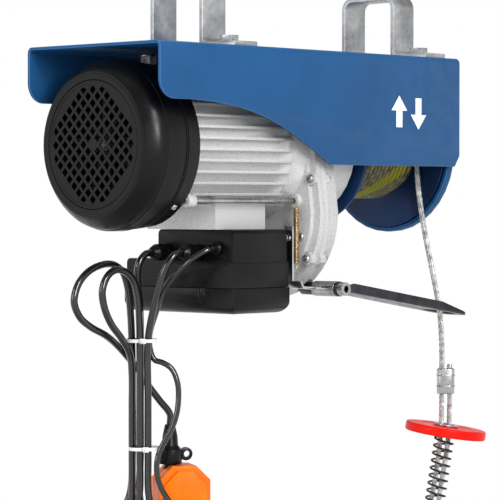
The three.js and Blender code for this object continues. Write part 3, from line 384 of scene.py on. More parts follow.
class Surface:
    """A Principled material whose colour, roughness and relief come from noise."""

    def __init__(self, name, rgb, roughness, metallic=0.0, coat=0.0, shine=0.5):
        self.material = bpy.data.materials.new(name)
        self.material.use_nodes = True
        self.tree = self.material.node_tree
        self.shader = self.tree.nodes["Principled BSDF"]
        self.shader.inputs["Base Color"].default_value = linear(rgb)
        self.shader.inputs["Roughness"].default_value = roughness
        self.shader.inputs["Metallic"].default_value = metallic
        self.shader.inputs["Coat Weight"].default_value = coat
        self.shader.inputs["Specular IOR Level"].default_value = shine
        self.place = self.tree.nodes.new("ShaderNodeTexCoord").outputs["Object"]
        self.height = None

    def add(self, kind, **inputs):
        node = self.tree.nodes.new(kind)
        for key, value in inputs.items():
            node.inputs[key.replace("_", " ")].default_value = value
        return node

    def stretched(self, scale):
        mapping = self.add("ShaderNodeMapping")
        mapping.inputs["Scale"].default_value = scale
        self.tree.links.new(self.place, mapping.inputs["Vector"])
        return mapping.outputs["Vector"]

    def noise(self, scale, detail=4.0, stretch=None):
        node = self.add("ShaderNodeTexNoise", Scale=scale, Detail=detail)
        self.tree.links.new(self.stretched(stretch) if stretch else self.place, node.inputs["Vector"])
        return node.outputs["Fac"]

    def ramp(self, value, stops):
        node = self.tree.nodes.new("ShaderNodeValToRGB")
        while len(node.color_ramp.elements) < len(stops):
            node.color_ramp.elements.new(0.5)
        for element, (place, colour) in zip(node.color_ramp.elements, stops):
            element.position = place
            element.color = colour
        self.tree.links.new(value, node.inputs["Fac"])
        return node.outputs["Color"]

    def colour(self, value, stops):
        self.tree.links.new(self.ramp(value, stops), self.shader.inputs["Base Color"])

    def rough(self, value, low, high):
        node = self.tree.nodes.new("ShaderNodeMapRange")
        node.inputs["From Min"].default_value = 0.3
        node.inputs["From Max"].default_value = 0.7
        node.inputs["To Min"].default_value = low
        node.inputs["To Max"].default_value = high
        self.tree.links.new(value, node.inputs["Value"])
        self.tree.links.new(node.outputs["Result"], self.shader.inputs["Roughness"])

    def relief(self, value, strength, depth):
        bump = self.add("ShaderNodeBump", Strength=strength, Distance=depth * MM)
        self.tree.links.new(value, bump.inputs["Height"])
        if self.height:
            self.tree.links.new(self.height, bump.inputs["Normal"])
        self.height = bump.outputs["Normal"]
        self.tree.links.new(self.height, self.shader.inputs["Normal"])


def paint(name, rgb, roughness=0.42, dirt=0.0):
    made = Surface(name, rgb, roughness, shine=0.2)
    dark = linear([c * 0.5 for c in rgb]) if dirt else linear(rgb, 0.9)
    stops = [(0.35 - dirt * 0.2, dark), (0.5, linear(rgb)), (0.72, linear(rgb, 1.08))]
    made.colour(made.noise(9, 6), stops)
    made.rough(made.noise(60), roughness - 0.06, roughness + 0.1)
    made.relief(made.noise(420, 2), 0.25, 0.03)
    return made.material


def casting(name, rgb):
    made = Surface(name, rgb, 0.55, 0.35)
    made.colour(made.noise(1400, 2), tones(rgb, (0.3, 0.55, 0.75), 0.66, 1.2))
    made.rough(made.noise(300), 0.45, 0.68)
    made.relief(made.noise(1500, 3), 0.55, 0.09)
    made.relief(made.noise(110, 3), 0.25, 0.12)
    return made.material


def spangle(name, rgb):
    made = Surface(name, rgb, 0.45, 0.85)
    cells = made.add("ShaderNodeTexVoronoi", Scale=220.0)
    made.tree.links.new(made.place, cells.inputs["Vector"])
    grey = made.ramp(cells.outputs["Color"], [(0.0, linear(rgb, 0.82)), (1.0, linear(rgb, 1.12))])
    cloud = made.noise(26, 6)
    mix = made.tree.nodes.new("ShaderNodeMix")
    mix.data_type = "RGBA"
    mix.blend_type = "MULTIPLY"
    mix.inputs["Factor"].default_value = 0.7
    made.tree.links.new(grey, mix.inputs["A"])
    shade = made.ramp(cloud, [(0.38, (0.5, 0.5, 0.52, 1)), (0.56, (1, 1, 1, 1))])
    made.tree.links.new(shade, mix.inputs["B"])
    made.tree.links.new(mix.outputs["Result"], made.shader.inputs["Base Color"])
    made.rough(cloud, 0.34, 0.58)
    made.relief(cells.outputs["Distance"], 0.2, 0.05)
    made.relief(made.noise(500, 2), 0.15, 0.04)
    return made.material


def metal(name, rgb, roughness, brushed=None, spread=0.12):
    made = Surface(name, rgb, roughness, 1.0)
    made.colour(made.noise(70, 5), tones(rgb, (0.32, 0.5, 0.7), 0.72, 1.15))
    made.rough(made.noise(160, 4), roughness - spread, roughness + spread)
    made.relief(made.noise(260, 3, brushed or (1, 1, 1)), 0.25, 0.04)
    return made.material


def moulded(name, rgb, roughness, texture=0.3, coat=0.0, shine=0.25):
    made = Surface(name, rgb, roughness, coat=coat, shine=shine)
    made.colour(made.noise(35, 4), tones(rgb, (0.35, 0.55, 0.7), 0.86, 1.12))
    made.rough(made.noise(90, 4), roughness - 0.05, roughness + 0.09)
    made.relief(made.noise(1100, 2), texture, 0.03)
    return made.material


def wire(name, rgb, stain=None):
    """Bare wire strands; a stain is a slanting smear of old grease across the drum's turns."""
    made = Surface(name, rgb, 0.42, 0.6)
    base = made.ramp(made.noise(160, 5), tones(rgb, (0.3, 0.52, 0.7), 0.4, 1.5))
    if stain:
        slant = made.add("ShaderNodeMapping")
        slant.inputs["Rotation"].default_value = (0, math.radians(-52.5), 0)
        slant.inputs["Location"].default_value = (-0.2123, 0, 0)
        made.tree.links.new(made.place, slant.inputs["Vector"])
        split = made.tree.nodes.new("ShaderNodeSeparateXYZ")
        made.tree.links.new(slant.outputs["Vector"], split.inputs["Vector"])
        smear = made.tree.nodes.new("ShaderNodeMapRange")
        smear.inputs["From Min"].default_value = -0.009
        smear.inputs["From Max"].default_value = 0.009
        made.tree.links.new(split.outputs["X"], smear.inputs["Value"])
        clear, full = (0, 0, 0, 1), (1, 1, 1, 1)
        stops = [(0.0, clear), (0.2, full), (0.8, full), (1.0, clear)]
        band = made.ramp(smear.outputs["Result"], stops)
        mix = made.tree.nodes.new("ShaderNodeMix")
        mix.data_type = "RGBA"
        mix.inputs["B"].default_value = linear(stain)
        made.tree.links.new(band, mix.inputs["Factor"])
        made.tree.links.new(base, mix.inputs["A"])
        base = mix.outputs["Result"]
    made.tree.links.new(base, made.shader.inputs["Base Color"])
    made.rough(made.noise(400, 3), 0.34, 0.6)
    made.relief(made.noise(900, 2), 0.5, 0.12)
    return made.material


MATERIALS = {
    "blue_paint": paint("blue_paint", (24, 76, 124)),
    "drum_paint": paint("drum_paint", (8, 42, 82), 0.38, dirt=0.5),
    "galvanised": spangle("galvanised", (186, 187, 188)),
    "zinc_hardware": metal("zinc_hardware", (176, 178, 180), 0.32),
    "cast_aluminium": casting("cast_aluminium", (206, 206, 206)),
    "inner_steel": metal("inner_steel", (128, 130, 132), 0.35),
    "copper": metal("copper", (176, 106, 58), 0.4),
    "black_plastic": moulded("black_plastic", (9, 9, 10), 0.3, 0.2, shine=0.22),
    "greased_rope": wire("greased_rope", (112, 110, 84), stain=(138, 140, 40)),
    "wire_rope": wire("wire_rope", (186, 186, 184)),
    "red_plastic": moulded("red_plastic", (236, 18, 2), 0.34, 0.08, shine=0.15),
    "spring_steel": metal("spring_steel", (60, 62, 66), 0.34),
    "forged_steel": paint("forged_steel", (52, 54, 58), 0.4),
    "bright_zinc": metal("bright_zinc", (205, 208, 212), 0.2, spread=0.06),
    "dark_steel": metal("dark_steel", (66, 68, 72), 0.34, (1, 8, 8)),
    "yellow_zinc": metal("yellow_zinc", (190, 164, 122), 0.3),
    "capacitor_can": metal("capacitor_can", (172, 174, 176), 0.35),
    "black_cord": moulded("black_cord", (15, 15, 16), 0.22, 0.06, coat=0.6, shine=0.5),
    "orange_plastic": moulded("orange_plastic", (250, 112, 0), 0.34, 0.1, shine=0.18),
}
WHITE_NYLON = moulded("white_nylon", (232, 232, 228), 0.35, 0.1)
WHITE_FILM = moulded("white_film", (238, 238, 236), 0.3, 0.05)
# Lighter blue on the rounded edge strips of the frame and end plate: a painted highlight along the sheet
# edges.
PLATE_EDGE_HIGHLIGHT = paint("plate_edge_highlight", (60, 112, 164))
# Bright metal on the lever's rounded edges: a painted highlight along its rims.
LEVER_EDGE_HIGHLIGHT = metal("lever_edge_highlight", (186, 188, 190), 0.25)


def dress_cad():
    for entry in frame["record"]["subparts"]:
        node = nodes[entry["node"]]
        node.data.materials.clear()
        node.data.materials.append(MATERIALS[entry["material_slot"]])


# ---- cords -----------------------------------------------------------------------------------

# Each route repeats the CAD one: across, deep and up in the bundle's own axes.
CONTROL_ROUTE = [
    (10.9, 11.3, -211), (4.9, 5, -213), (-1.1, 0.2, -222), (-3, 1, -239), (-1, 7, -262),
    (0, 8.5, -285), (0, 8.5, -315), (0, 8.5, -360), (0, 8.5, -420), (-1, 8.5, -465), (5, 8.5, -495),
    (11, 8.5, -522), (7, 8.5, -546), (-14, 8.5, -560), (-36, 8.5, -546), (-40, 8.5, -522),
    (-29, 8.5, -495), (-12, 8.5, -465), (-8.5, 8.5, -420), (-8.5, 8.5, -360), (-9, 8.5, -305),
    (-10.5, 8, -272), (-13, 4.5, -248), (-18, -2, -231), (-27, -14.5, -223), (-38.5, -30, -223),
    (-51.5, -45, -230), (-61, -55, -243), (-64.5, -58.5, -260), (-59.5, -52, -275), (-49.5, -37, -286),
    (-35, -16, -296), (-25, 1.5, -306), (-14.5, 15.5, -319), (-2, 20, -335), (8, 21.5, -351),
    (19, 24.5, -366), (30, 28, -381), (30, 28, -391.5),
]
MAINS_ROUTE = [
    (42.6, -19.1, -211), (36.6, -25.3, -213), (29.5, -28, -222), (22, -26, -240), (14.5, -17.5, -268),
    (8.5, -8.5, -302), (8.5, -8.5, -360), (8.5, -8.5, -420), (9.5, -8.5, -465), (19, -8.5, -500),
    (29, -8.5, -530), (26, -8.5, -556), (4, -8.5, -572), (-18, -8.5, -556), (-21, -8.5, -530),
    (-11, -8.5, -500), (-1, -8.5, -465), (0, -8.5, -420), (0, -8.5, -360), (0, -8.5, -305),
    (-0.5, -9, -280), (-2, -10.5, -256), (-6.5, -15.5, -239), (-14.5, -23.5, -230), (-23.5, -33, -228),
    (-31.5, -41.5, -234), (-36.5, -46.5, -248), (-35, -44, -265), (-28.5, -34, -283), (-18.5, -19.5, -299),
    (-10.5, -5, -316), (-8.5, 0, -337), (-8.5, 0, -370), (-8.5, 0, -420), (-8.5, 0, -470),
    (-9, 0, -530), (-9, 0, -592),
]
STOP_ROUTE = [
    (75.4, -28.3, -206), (69.3, -31.8, -208), (56, -33, -216), (39.5, -25.5, -231), (25.5, -13.5, -248),
    (17, -6.5, -272), (10, -1, -296), (10.5, -1.5, -311), (15, -2, -322), (23.5, -3, -325),
    (32.5, -4, -331), (38.5, -5, -344), (40, -6, -360), (37.5, -8, -380), (31.5, -10, -396),
    (24, -12, -409), (18.5, -13.5, -423), (18, -14, -440), (23, -13.5, -456), (32, -13, -471),
    (39, -14, -492), (42, -17, -520), (44, -22, -555), (45, -22, -580), (44.5, -11, -601),
    (43, 7, -608), (41, 23.5, -599), (40.7, 30, -585), (40.7, 30, -575.5),
]


def from_bundle(point):
    return BUNDLE_AT + BUNDLE_TURN @ Vector(point)


def cord(name, route, diameter):
    path = [from_bundle(p) for p in catmull(route, 8)]
    data = bpy.data.curves.new(name + "_jacket", "CURVE")
    data.dimensions = "3D"
    spline = data.splines.new("POLY")
    spline.points.add(len(path) - 1)
    for point, here in zip(spline.points, path):
        point.co = (*(here * MM), 1)
    data.bevel_depth = diameter / 2 * MM
    data.bevel_resolution = 5
    data.use_fill_caps = True
    piece = link(bpy.data.objects.new(name + "_jacket", data))
    fit(piece, MATERIALS["black_cord"], "root", [name])
    length = sum((b - a).length for a, b in zip(path, path[1:]))


def cords():
    cord("control_cord", CONTROL_ROUTE, CORD)
    cord("mains_cord", MAINS_ROUTE, CORD)
    cord("stop_cord", STOP_ROUTE, STOP_CORD)


def cable_tie(name, height, half_across, half_deep, centre):
    """A strap around the bundle with its square head and cut tail on the near side."""
    count = 48
    path = []
    for i in range(count + 1):
        a = i * math.tau / count
        c, s = math.cos(a), math.sin(a)
        across = centre[0] + half_across * math.copysign(abs(c) ** 0.7, c)
        deep = centre[1] + half_deep * math.copysign(abs(s) ** 0.7, s)
        path.append((across, deep))
    points, faces = [], []
    for across, deep in path:
        out = Vector((across - centre[0], deep - centre[1])).normalized() * 1.1
        for offset, z in ((0, -1.8), (1, -1.8), (1, 1.8), (0, 1.8)):
            points.append(from_bundle((across + out.x * offset, deep + out.y * offset, height + z)))
    for i in range(count):
        for k in range(4):
            n = (k + 1) % 4
            faces.append([4 * i + k, 4 * i + n, 4 * i + 4 + n, 4 * i + 4 + k])
    head = [centre[0] + 2.5, centre[1] - half_deep - 0.6]
    for box in (
        (head[0] - 3.2, head[0] + 3.2, head[1] - 4.6, head[1] + 0.4, height - 2.6, height + 2.6),
        (head[0] - 0.7, head[0] + 0.7, head[1] - 11, head[1] - 4, height - 1.8, height + 1.8),
    ):
        first = len(points)
        points += [from_bundle((x, y, z)) for x in box[:2] for y in box[2:4] for z in box[4:]]
        quads = [(0, 1, 3, 2), (4, 6, 7, 5), (0, 4, 5, 1), (2, 3, 7, 6), (0, 2, 6, 4), (1, 5, 7, 3)]
        faces += [[first + k for k in quad] for quad in quads]
    tie = mesh_piece(name, points, faces)
    soften(tie, 0.35)
    fit(tie, WHITE_NYLON)


def soften(piece, width, segments=2):
    bevel = piece.modifiers.new("rounding", "BEVEL")
    bevel.width = width * MM
    bevel.segments = segments
    bevel.limit_method = "ANGLE"
    bevel.angle_limit = math.radians(40)
    bevel.harden_normals = True


def gland_cap(name, y, z):
    """Hexagon, fluted cap and domed seal of a cable gland, turned about the cord's X axis."""
    x = -96.0
    profile = rounded([
        (x - 1.4, 3.9), (x - 1.4, 8.2), (x - 8.4, 8.2), (x - 8.4, 7.4), (x - 9.4, 7.4), (x - 9.4, 8.8),
        (x - 18, 8.4), (x - 23.4, 5.6), (x - 24, 4.2), (x - 20, 3.9),
    ], 0.7, 3)

    def place(along, radius, angle):
        swell = 0.0
        if x - 18.2 < along < x - 9.2 and radius > 7:
            swell = 0.28 * math.cos(angle * 18)
        if along > x - 8.5 and radius > 6:
            sixth = (angle % (math.pi / 3)) - math.pi / 6
            swell = 8.5 / math.cos(sixth) - 8.2
        r = radius + swell
        return Vector((along, y + r * math.cos(angle), z + r * math.sin(angle)))

    cap = lathe(name + "_cap", profile, place, 144)
    fit(cap, MATERIALS["black_plastic"], "root", [name])


def stop_cord_bush():
    """The small moulded sleeve that the stop cord comes out of, on the box's wall."""
    y, z, x = -44.0, -206.0, -96.0
    axis = (from_bundle(STOP_ROUTE[0]) - Vector((x, y, z))).normalized()
    side = axis.orthogonal().normalized()
    top = axis.cross(side)
    profile = rounded([(0.4, 3.4), (0.4, 6.6), (2.6, 6.6), (4.4, 4.9), (11.5, 4.1), (12.5, 3.4)], 0.6, 3)

    def place(along, radius, angle):
        out = side * math.cos(angle) + top * math.sin(angle)
        return Vector((x, y, z)) + axis * along + out * radius

    bush = lathe("stop_cord_bush", profile, place, 48)
    fit(bush, MATERIALS["black_plastic"])


# ---- motor -----------------------------------------------------------------------------------

def fan_cover():
    """One-piece cup: flat rim round the grille, wide sloping shoulder and a skirt with two grooves."""
    r, wall = COVER_RADIUS, 2.4
    outer = [(0, GRILLE_RADIUS + 0.3), (0, 71), (0.5, 71.6), (0.5, 73.4), (2.0, 75.4)]
    shoulder = []
    for i in range(9):
        t = i / 8
        shoulder.append((3.0 + 19 * t, 76.4 + (r - 77.1) * (t + 0.25 * math.sin(t * math.pi))))
    skirt = [
        (22.6, r), (38, r), (38.4, r - 1.1), (48, r - 1.6), (48.3, r - 2.3), (49.6, r - 2.3),
        (49.9, r - 1.6), (50.9, r - 1.7), (51.2, r - 2.4), (52.4, r - 2.4), (52.7, r - 1.8),
        (69.4, r - 3.4), (70, r - 4.0),
    ]
    inner = [
        (70, r - 4 - wall), (32, r - wall), (24, r - wall), (14, r - 2.2 - wall), (5, 76), (3, 72),
        (3, GRILLE_RADIUS + 0.3),
    ]
    profile = [(COVER_LEFT + a, b) for a, b in outer + shoulder + skirt + inner]
    cover = lathe("fan_cover_shell", profile, about_x, 192, 18)
    fit(cover, MATERIALS["black_plastic"], "root", ["fan_cover"])


def fan_grille():
    """Diamond lattice inside a raised ring, with a solid middle."""
    pitch, bar = 13.8, 3.3
    half = (pitch - bar * math.sqrt(2)) / 2
    holes = []
    for row in range(-12, 13):
        for column in range(-8, 9):
            y = (column + 0.5 * (row % 2)) * pitch
            z = row * pitch / 2
            reach = math.hypot(y, z)
            if reach < 5 or reach > GRILLE_RADIUS - 6.5 - half * 0.3:
                continue
            corners = [(y - half, z), (y, z - half), (y + half, z), (y, z + half)]
            rim = GRILLE_RADIUS - 5.5
            kept = []
            for a, b in corners:
                far = math.hypot(a, b)
                kept.append((a * rim / far, b * rim / far) if far > rim else (a, b))
            holes.append(kept)
    rim = ring_points(0, 0, GRILLE_RADIUS - 0.3, 144)

    def place(a, b, depth):
        return Vector((COVER_LEFT + depth, a, AXIS_Z + b))

    grille = plate("fan_grille_lattice", [rim, *holes], 0.6, 2.6, 0.35, place, 2)
    fit(grille, MATERIALS["black_plastic"], "root", ["fan_grille"])
    front, back = COVER_LEFT + 0.2, COVER_LEFT + 2.6
    inside, outside = 61.5, 64.6
    profile = rounded([(front, inside), (front, outside), (back, outside), (back, inside)], 0.4)
    rim_ring = lathe("grille_rim", profile, about_x, 144)
    fit(rim_ring, MATERIALS["black_plastic"])


def pan_head(name, centre, normal, radius, height, slot="zinc_hardware", body="root", recess=True):
    """A domed screw head with a cross or hexagon recess left as a shallow cup."""
    normal = Vector(normal).normalized()
    side = normal.orthogonal().normalized()
    top = normal.cross(side)
    profile = [(0, radius), (height * 0.35, radius)]
    for i in range(1, 6):
        t = i / 6 * math.pi / 2
        profile.append((height * (0.35 + 0.65 * math.sin(t)), radius * (0.45 + 0.55 * math.cos(t))))
    if recess:
        profile += [(height, radius * 0.42), (height * 0.55, radius * 0.3), (height * 0.5, 0)]
    else:
        profile += [(height, 0)]
    profile = [(-0.2, 0), (-0.2, radius), *profile[1:]]

    def place(along, r, angle):
        return Vector(centre) + normal * along + (side * math.cos(angle) + top * math.sin(angle)) * r

    head = lathe(name, profile, place, 32, 50)
    fit(head, MATERIALS[slot], body)


# ---- drum and rope ---------------------------------------------------------------------------

def drum():
    """Core and two flanges; the flange rims are rounded."""
    profile = rounded([
        (DRUM_LEFT, 12.4), (DRUM_LEFT, 80), (DRUM_LEFT + 4.5, 80), (DRUM_LEFT + 4.5, DRUM_CORE),
        (DRUM_RIGHT - 3, DRUM_CORE), (DRUM_RIGHT - 3, 85.5), (DRUM_RIGHT, 85.5), (DRUM_RIGHT, 12.4),
        (DRUM_RIGHT - 4, 12.4), (DRUM_RIGHT - 4, DRUM_CORE - 4), (DRUM_LEFT + 5, DRUM_CORE - 4),
        (DRUM_LEFT + 5, 12.4),
    ], 0.9, 3)
    made = lathe("drum_shell", profile, about_x, 144)
    fit(made, MATERIALS["drum_paint"], "drum_body", ["drum"])


def rope_winding():
    """The rope's outer layer on the drum: one helix with six lobes that twist like its strands."""
    pitch = 6.1
    first = DRUM_LEFT + 4.5 + 3.4
    last = DRUM_RIGHT - 3 - 12.6
    layer = DRUM_CORE + 0.5 + ROPE * 0.5 + ROPE * 0.86
    turns = int((last - first) / pitch)
    path = []
    per_turn = 100
    for i in range(turns * per_turn + 1):
        a = i * math.tau / per_turn
        path.append(about_x(first + pitch * i / per_turn, layer, -a))
    inner = []
    for i in range(2 * per_turn + 1):
        a = i * math.tau / per_turn
        inner.append(about_x(DRUM_RIGHT - 6.6 - pitch * i / per_turn, DRUM_CORE + 0.4 + ROPE / 2, a))
    step = math.tau * layer / per_turn

    def lobed(index, angle):
        return ROPE / 2 * (0.93 + 0.07 * math.cos(6 * (angle + index * step * math.tau / 38)))

    made = sweep("drum_rope", [path, inner], lobed, 18, 80)
    fit(made, MATERIALS["greased_rope"], "drum_body", ["rope_winding"])
    a, b = DRUM_LEFT + 4.9, DRUM_RIGHT - 3.4
    bed = lathe("rope_bed", [(a, DRUM_CORE + 0.3), (a, 45.5), (b, 45.5), (b, DRUM_CORE + 0.3)], about_x, 96)
    fit(bed, MATERIALS["greased_rope"], "drum_body")


ROPE_ROUTE = [
    (212, -51.3, -101), (212, -51.6, -118), (212.2, -55, -150), (213, -62, -190), (218.4, -69, -235),
    (225, -74, -280), (228.5, -74.5, -320), (230.4, -72.9, -343.7),
]


def rope_fall():
    made = sweep("rope_fall_strands", strands(catmull(ROPE_ROUTE, 24), ROPE / 2), ROPE / 6 + 0.03, 8, 80)
    fit(made, MATERIALS["wire_rope"], "root", ["rope_fall"])
    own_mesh(made)


def hook_end(point):
    """From the hook end's own upright axes about the disc's centre to the part's frame."""
    return DISC_CENTRE + HOOK_TURN @ Vector(point)


def on_hook_axis(along, radius, angle):
    return hook_end((radius * math.cos(angle), radius * math.sin(angle), along))


def rope_eye():
    start = FERRULE_TOP.z - FERRULE_HEIGHT - 0.8 - DISC_CENTRE.z
    half = math.sqrt(0.5)

    def hung(across, z):
        return Vector((across * half, -across * half, z))

    def plumb(across, z):
        return HOOK_TURN.inverted() @ hung(across, z)

    turn = 8.6
    route = [plumb(-LEG, start), plumb(-LEG, start - 12), hung(-LEG, -12), hung(-LEG, -80), hung(-7.5, -98)]
    for i in range(7):
        t = math.pi + i * math.pi / 6
        route.append(hung(turn * math.cos(t), SEAT_Z - 26 + turn * math.sin(t)))
    route += [hung(7.5, -98), hung(LEG, -80), hung(LEG, -12), plumb(LEG, start - 12), plumb(LEG, start)]
    path = [hook_end(p) for p in catmull(route, 16)]
    radius = ROPE / 2 - 0.2
    made = sweep("rope_eye_strands", strands(path, radius), radius / 3 + 0.03, 8, 80)
    fit(made, MATERIALS["wire_rope"], "hook_block", ["rope_eye"])


def stop_disc():
    profile = rounded([
        (-5, 9.5), (-5, DISC_RADIUS - 1), (-3.5, DISC_RADIUS), (3.5, DISC_RADIUS), (5, DISC_RADIUS - 1.2),
        (5, 30), (4.4, 28), (4.4, 16), (5, 14), (5, 9.5),
    ], 1.1, 4)
    disc = lathe("stop_disc_rim", profile, on_hook_axis, 144)
    fit(disc, MATERIALS["red_plastic"], "disc", ["stop_disc"])
    profile = rounded([(5.2, 8.6), (5.2, 14), (7, 14), (7, 8.6)], 0.5)
    washer = lathe("disc_washer", profile, on_hook_axis, 64)
    fit(washer, MATERIALS["zinc_hardware"], "disc")


def buffer_spring():
    """The coil between the disc and its seat, drawn at one length; it does not shorten as the disc slides.
    """
    low, high, turns = SEAT_Z + 5.2, -6.8, 9.5
    radius, wire_radius = 10.4, 1.15
    count = 420
    path = []
    for i in range(count + 1):
        t = i / count
        a = t * turns * math.tau
        path.append(hook_end((radius * math.cos(a), radius * math.sin(a), high + (low - high) * t)))
    made = sweep("buffer_spring_coil", [path], wire_radius, 12, 80)
    fit(made, MATERIALS["spring_steel"], "hook_block", ["buffer_spring"])
    tuple(hook_end((0, 0, low)) * MM)
    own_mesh(made)


def return_spring():
    """A close-coiled spring with a round loop below and a straight end above."""
    pitch, wire_radius, radius = 1.15, 0.55, 2.4
    x, y, foot, top = -4.6, -69.0, -222.5, -165.0
    coil = []
    total = (top - foot) / pitch
    for i in range(int(total * 16) + 1):
        a = i * math.tau / 16
        coil.append(Vector((x + radius * math.cos(a), y + radius * math.sin(a), foot + pitch * i / 16)))
    foot_loop = [
        Vector((x + radius, y, foot - 0.4)),
        Vector((x + 0.5, y, foot - 2.2)),
        Vector((x - 0.8, y, foot - 5.5)),
    ]
    for i in range(9):
        a = math.pi / 2 - i * math.pi / 6
        foot_loop.append(Vector((x - 0.8 + 2.4 * math.cos(a), y, foot - 9 + 2.4 * math.sin(a))))
    top_loop = [Vector((x, y, top)), Vector((x, y, top + 5)), Vector((x, y, top + 9))]
    made = sweep("return_spring_coil", [coil, foot_loop, top_loop], wire_radius, 8, 80)
    fit(made, MATERIALS["yellow_zinc"], "root", ["return_spring"])


# ---- small pieces ----------------------------------------------------------------------------

CASE_SCREWS = [(-79, -33), (-74, -117), (-66, -94), (84, -38), (72, -122)]


def screws():
    for y, z in CASE_SCREWS:
        name = f"gearbox_screw_{'n' if y < 0 else 'f'}{abs(z)}"
        pan_head(name, (6.4, y, AXIS_Z + z), (-1, 0, 0), 4.6, 3.6)
    for i, angle in enumerate((-132, -48, 132, 48)):
        a = math.radians(angle)
        centre = about_x(-172, COVER_RADIUS - 3.6, a)
        pan_head(f"cover_screw_{i + 1}", centre, (0, math.cos(a), math.sin(a)), 3.6, 2.6)
    for i, (x, y) in enumerate(((-76, 95), (-96.5, -22))):
        pan_head(f"box_screw_{i + 1}", (x, y, -252.5), (0, 0, 1), 2.6, 1.8)


def lever_boss():
    """Plated sleeve on the lever's barrel, and the ring around the screw's head."""
    x, y, z = LEVER_PIVOT

    def place(along, radius, angle):
        return Vector((x + radius * math.cos(angle), y + along, z + radius * math.sin(angle)))

    sleeve = [(-15.2, 7.1), (-15.2, 8.1), (16, 8.1), (16, 7.1)]
    made = lathe("lever_sleeve", rounded(sleeve, 0.4), place, 64)
    fit(made, MATERIALS["zinc_hardware"], "lever")
    head = [(-27.3, 3.7), (-27.3, 7.1), (-19, 7.1), (-19, 6.7), (-26.6, 6.7), (-26.6, 3.7)]
    made = lathe("pivot_head_plating", rounded(head, 0.3), place, 64)
    fit(made, MATERIALS["zinc_hardware"])


def case_nuts():
    """Hexagon nuts on the drum side of the gearbox's joint bolts."""
    for y, z in CASE_SCREWS:
        def place(along, radius, angle, y=y, z=z):
            sixth = (angle % (math.pi / 3)) - math.pi / 6
            wide = radius / math.cos(sixth) if radius > 3.2 else radius
            return Vector((along, y + wide * math.cos(angle), AXIS_Z + z + wide * math.sin(angle)))

        profile = rounded([(29.7, 0), (29.7, 4.6), (33.2, 4.6), (33.2, 3.1), (35, 3.1), (35, 0)], 0.3, 3)
        nut = lathe(f"case_nut_{'n' if y < 0 else 'f'}{abs(z)}", profile, place, 48)
        fit(nut, MATERIALS["zinc_hardware"])


def ferrule_marks():
    """Two pressed bands around the ferrule, left by the swaging dies."""
    turn = Matrix.Rotation(-math.pi / 4, 3, "Z")
    for i, height in enumerate((-7.5, -19.5)):
        path = []
        for k in range(49):
            a = k * math.tau / 48
            across = (LEG - 0.2) * (1 if math.cos(a) > 0 else -1) + 5.75 * math.cos(a)
            path.append(FERRULE_TOP + turn @ Vector((across, 5.75 * math.sin(a), height)))
        band = sweep(f"ferrule_band_{i + 1}", [path], 0.7, 8, 80)
        fit(band, MATERIALS["zinc_hardware"], "hook_block")


def direction_mark():
    """A plain pair of arrows, up and down, on the frame's near side."""
    arrow = [(-5, -16), (5, -16), (5, 2), (13, 2), (0, 18), (-13, 2), (-5, 2)]
    for name, x, sign in (("mark_up", 128, 1), ("mark_down", 160, -1)):
        def place(a, b, depth, x=x, sign=sign):
            return Vector((x + a, -97.5 - depth, -62 + sign * b))
        mark = plate(name, [arrow], 0.02, 0.22, 0.04, place, 1)
        fit(mark, WHITE_FILM)


def from_pendant(a, b, c):
    return BUNDLE_AT + BUNDLE_TURN @ (PENDANT_AT + PENDANT_TURN @ Vector((a, b, c)))


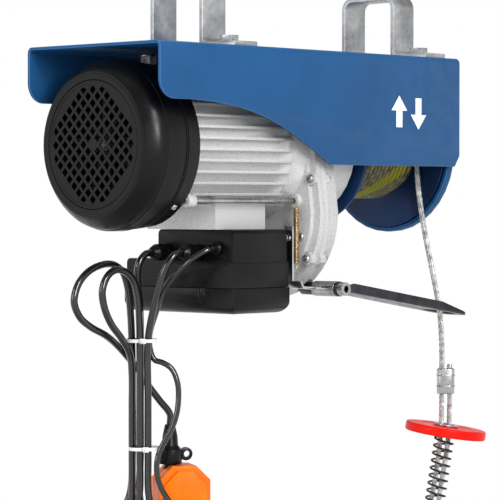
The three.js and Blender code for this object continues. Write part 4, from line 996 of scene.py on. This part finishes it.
def pendant_trim():
    """A ring round the stop button, arrows on the rocker and screws in the back shell."""
    def ring_place(along, radius, angle):
        return from_pendant(radius * math.cos(angle), -23 - along, BUTTON_Z + radius * math.sin(angle))

    profile = rounded([(0.1, 10.5), (0.1, 18), (0.6, 18), (1.1, 16), (1.1, 10.5)], 0.2)
    collar = lathe("stop_collar", profile, ring_place, 96)
    fit(collar, MATERIALS["black_plastic"])
    tilt = math.atan2(3, 19)
    for name, sign in (("rocker_up", 1), ("rocker_down", -1)):
        arrow = [(-4, -3), (4, -3), (0, 4)]

        def place(a, b, depth, sign=sign):
            z = sign * (11 + b)
            return from_pendant(a, -23.05 - abs(z) * math.tan(tilt) - depth, ROCKER_Z + z)

        mark = plate(name, [arrow], 0.02, 0.35, 0.05, place, 1)
        fit(mark, WHITE_FILM, "rocker_body")
    for i, (a, c) in enumerate(((-17, -20), (17, -20), (-17, -110), (17, -110))):
        centre = from_pendant(a, 23.1, c)
        normal = from_pendant(a, 24.1, c) - centre
        pan_head(f"pendant_screw_{i + 1}", centre, normal, 2.8, 1.6)


def round_cad_edges():
    for name in ("frame_channel", "drum_end_plate"):
        # The rounded edges get the lighter blue: painted highlight.
        refine(name, 0.6, 2, 40, PLATE_EDGE_HIGHLIGHT)
    for name in ("beam_bracket_1", "beam_bracket_2"):
        refine(name, 0.7, 2)
    for i in range(1, 5):
        refine(f"bracket_bolt_{i}", 0.45, 2)
    refine("motor_housing", 0.7, 2, 40)
    refine("gearbox_housing", 0.9, 2, 35)
    refine("gearbox_cover", 0.9, 2, 35)
    # The lever's rounded edges get bright metal: painted highlight.
    refine("limit_lever", 0.5, 2, 40, LEVER_EDGE_HIGHLIGHT)
    refine("lever_strap", 0.5, 2, 40)
    refine("box_body", 0.9, 3, 40)
    refine("box_lid", 0.9, 3, 40)
    refine("ferrule", 1.0, 3, 40)
    refine("pendant_front", 1.4, 4, 30)
    refine("pendant_back", 1.4, 4, 30)
    refine("rocker", 0.8, 3, 30)
    plain = (
        "cooling_fan", "tie_rod_near", "tie_rod_far", "spring_seat", "hook_yoke", "yoke_pin", "hook",
        "hook_latch", "pivot_screw", "switch_plunger", "mains_plug", "pendant_boot", "stop_button",
        "foot_bush", "stator_core", "stator_winding", "rotor_core", "rotor_shaft", "motor_bearing_rear",
        "motor_bearing_front", "idler_gear", "drum_gear", "drum_shaft", "drum_bearing_inner",
        "drum_bearing_outer", "capacitor", "limit_switch",
    )
    for name in plain:
        refine(name, 0.35, 2, 40)


camera()
cords()
studio()
dress_cad()
round_cad_edges()
cable_tie("cable_tie_upper", -302, 15.5, 14.5, (1, 0))
cable_tie("cable_tie_lower", -414, 15, 14.5, (4, -1))
gland_cap("gland_far", 30, -211)
gland_cap("gland_near", -14, -211)
stop_cord_bush()
fan_cover()
fan_grille()
drum()
rope_winding()
rope_fall()
rope_eye()
stop_disc()
buffer_spring()
return_spring()
screws()
lever_boss()
case_nuts()
ferrule_marks()
direction_mark()
pendant_trim()
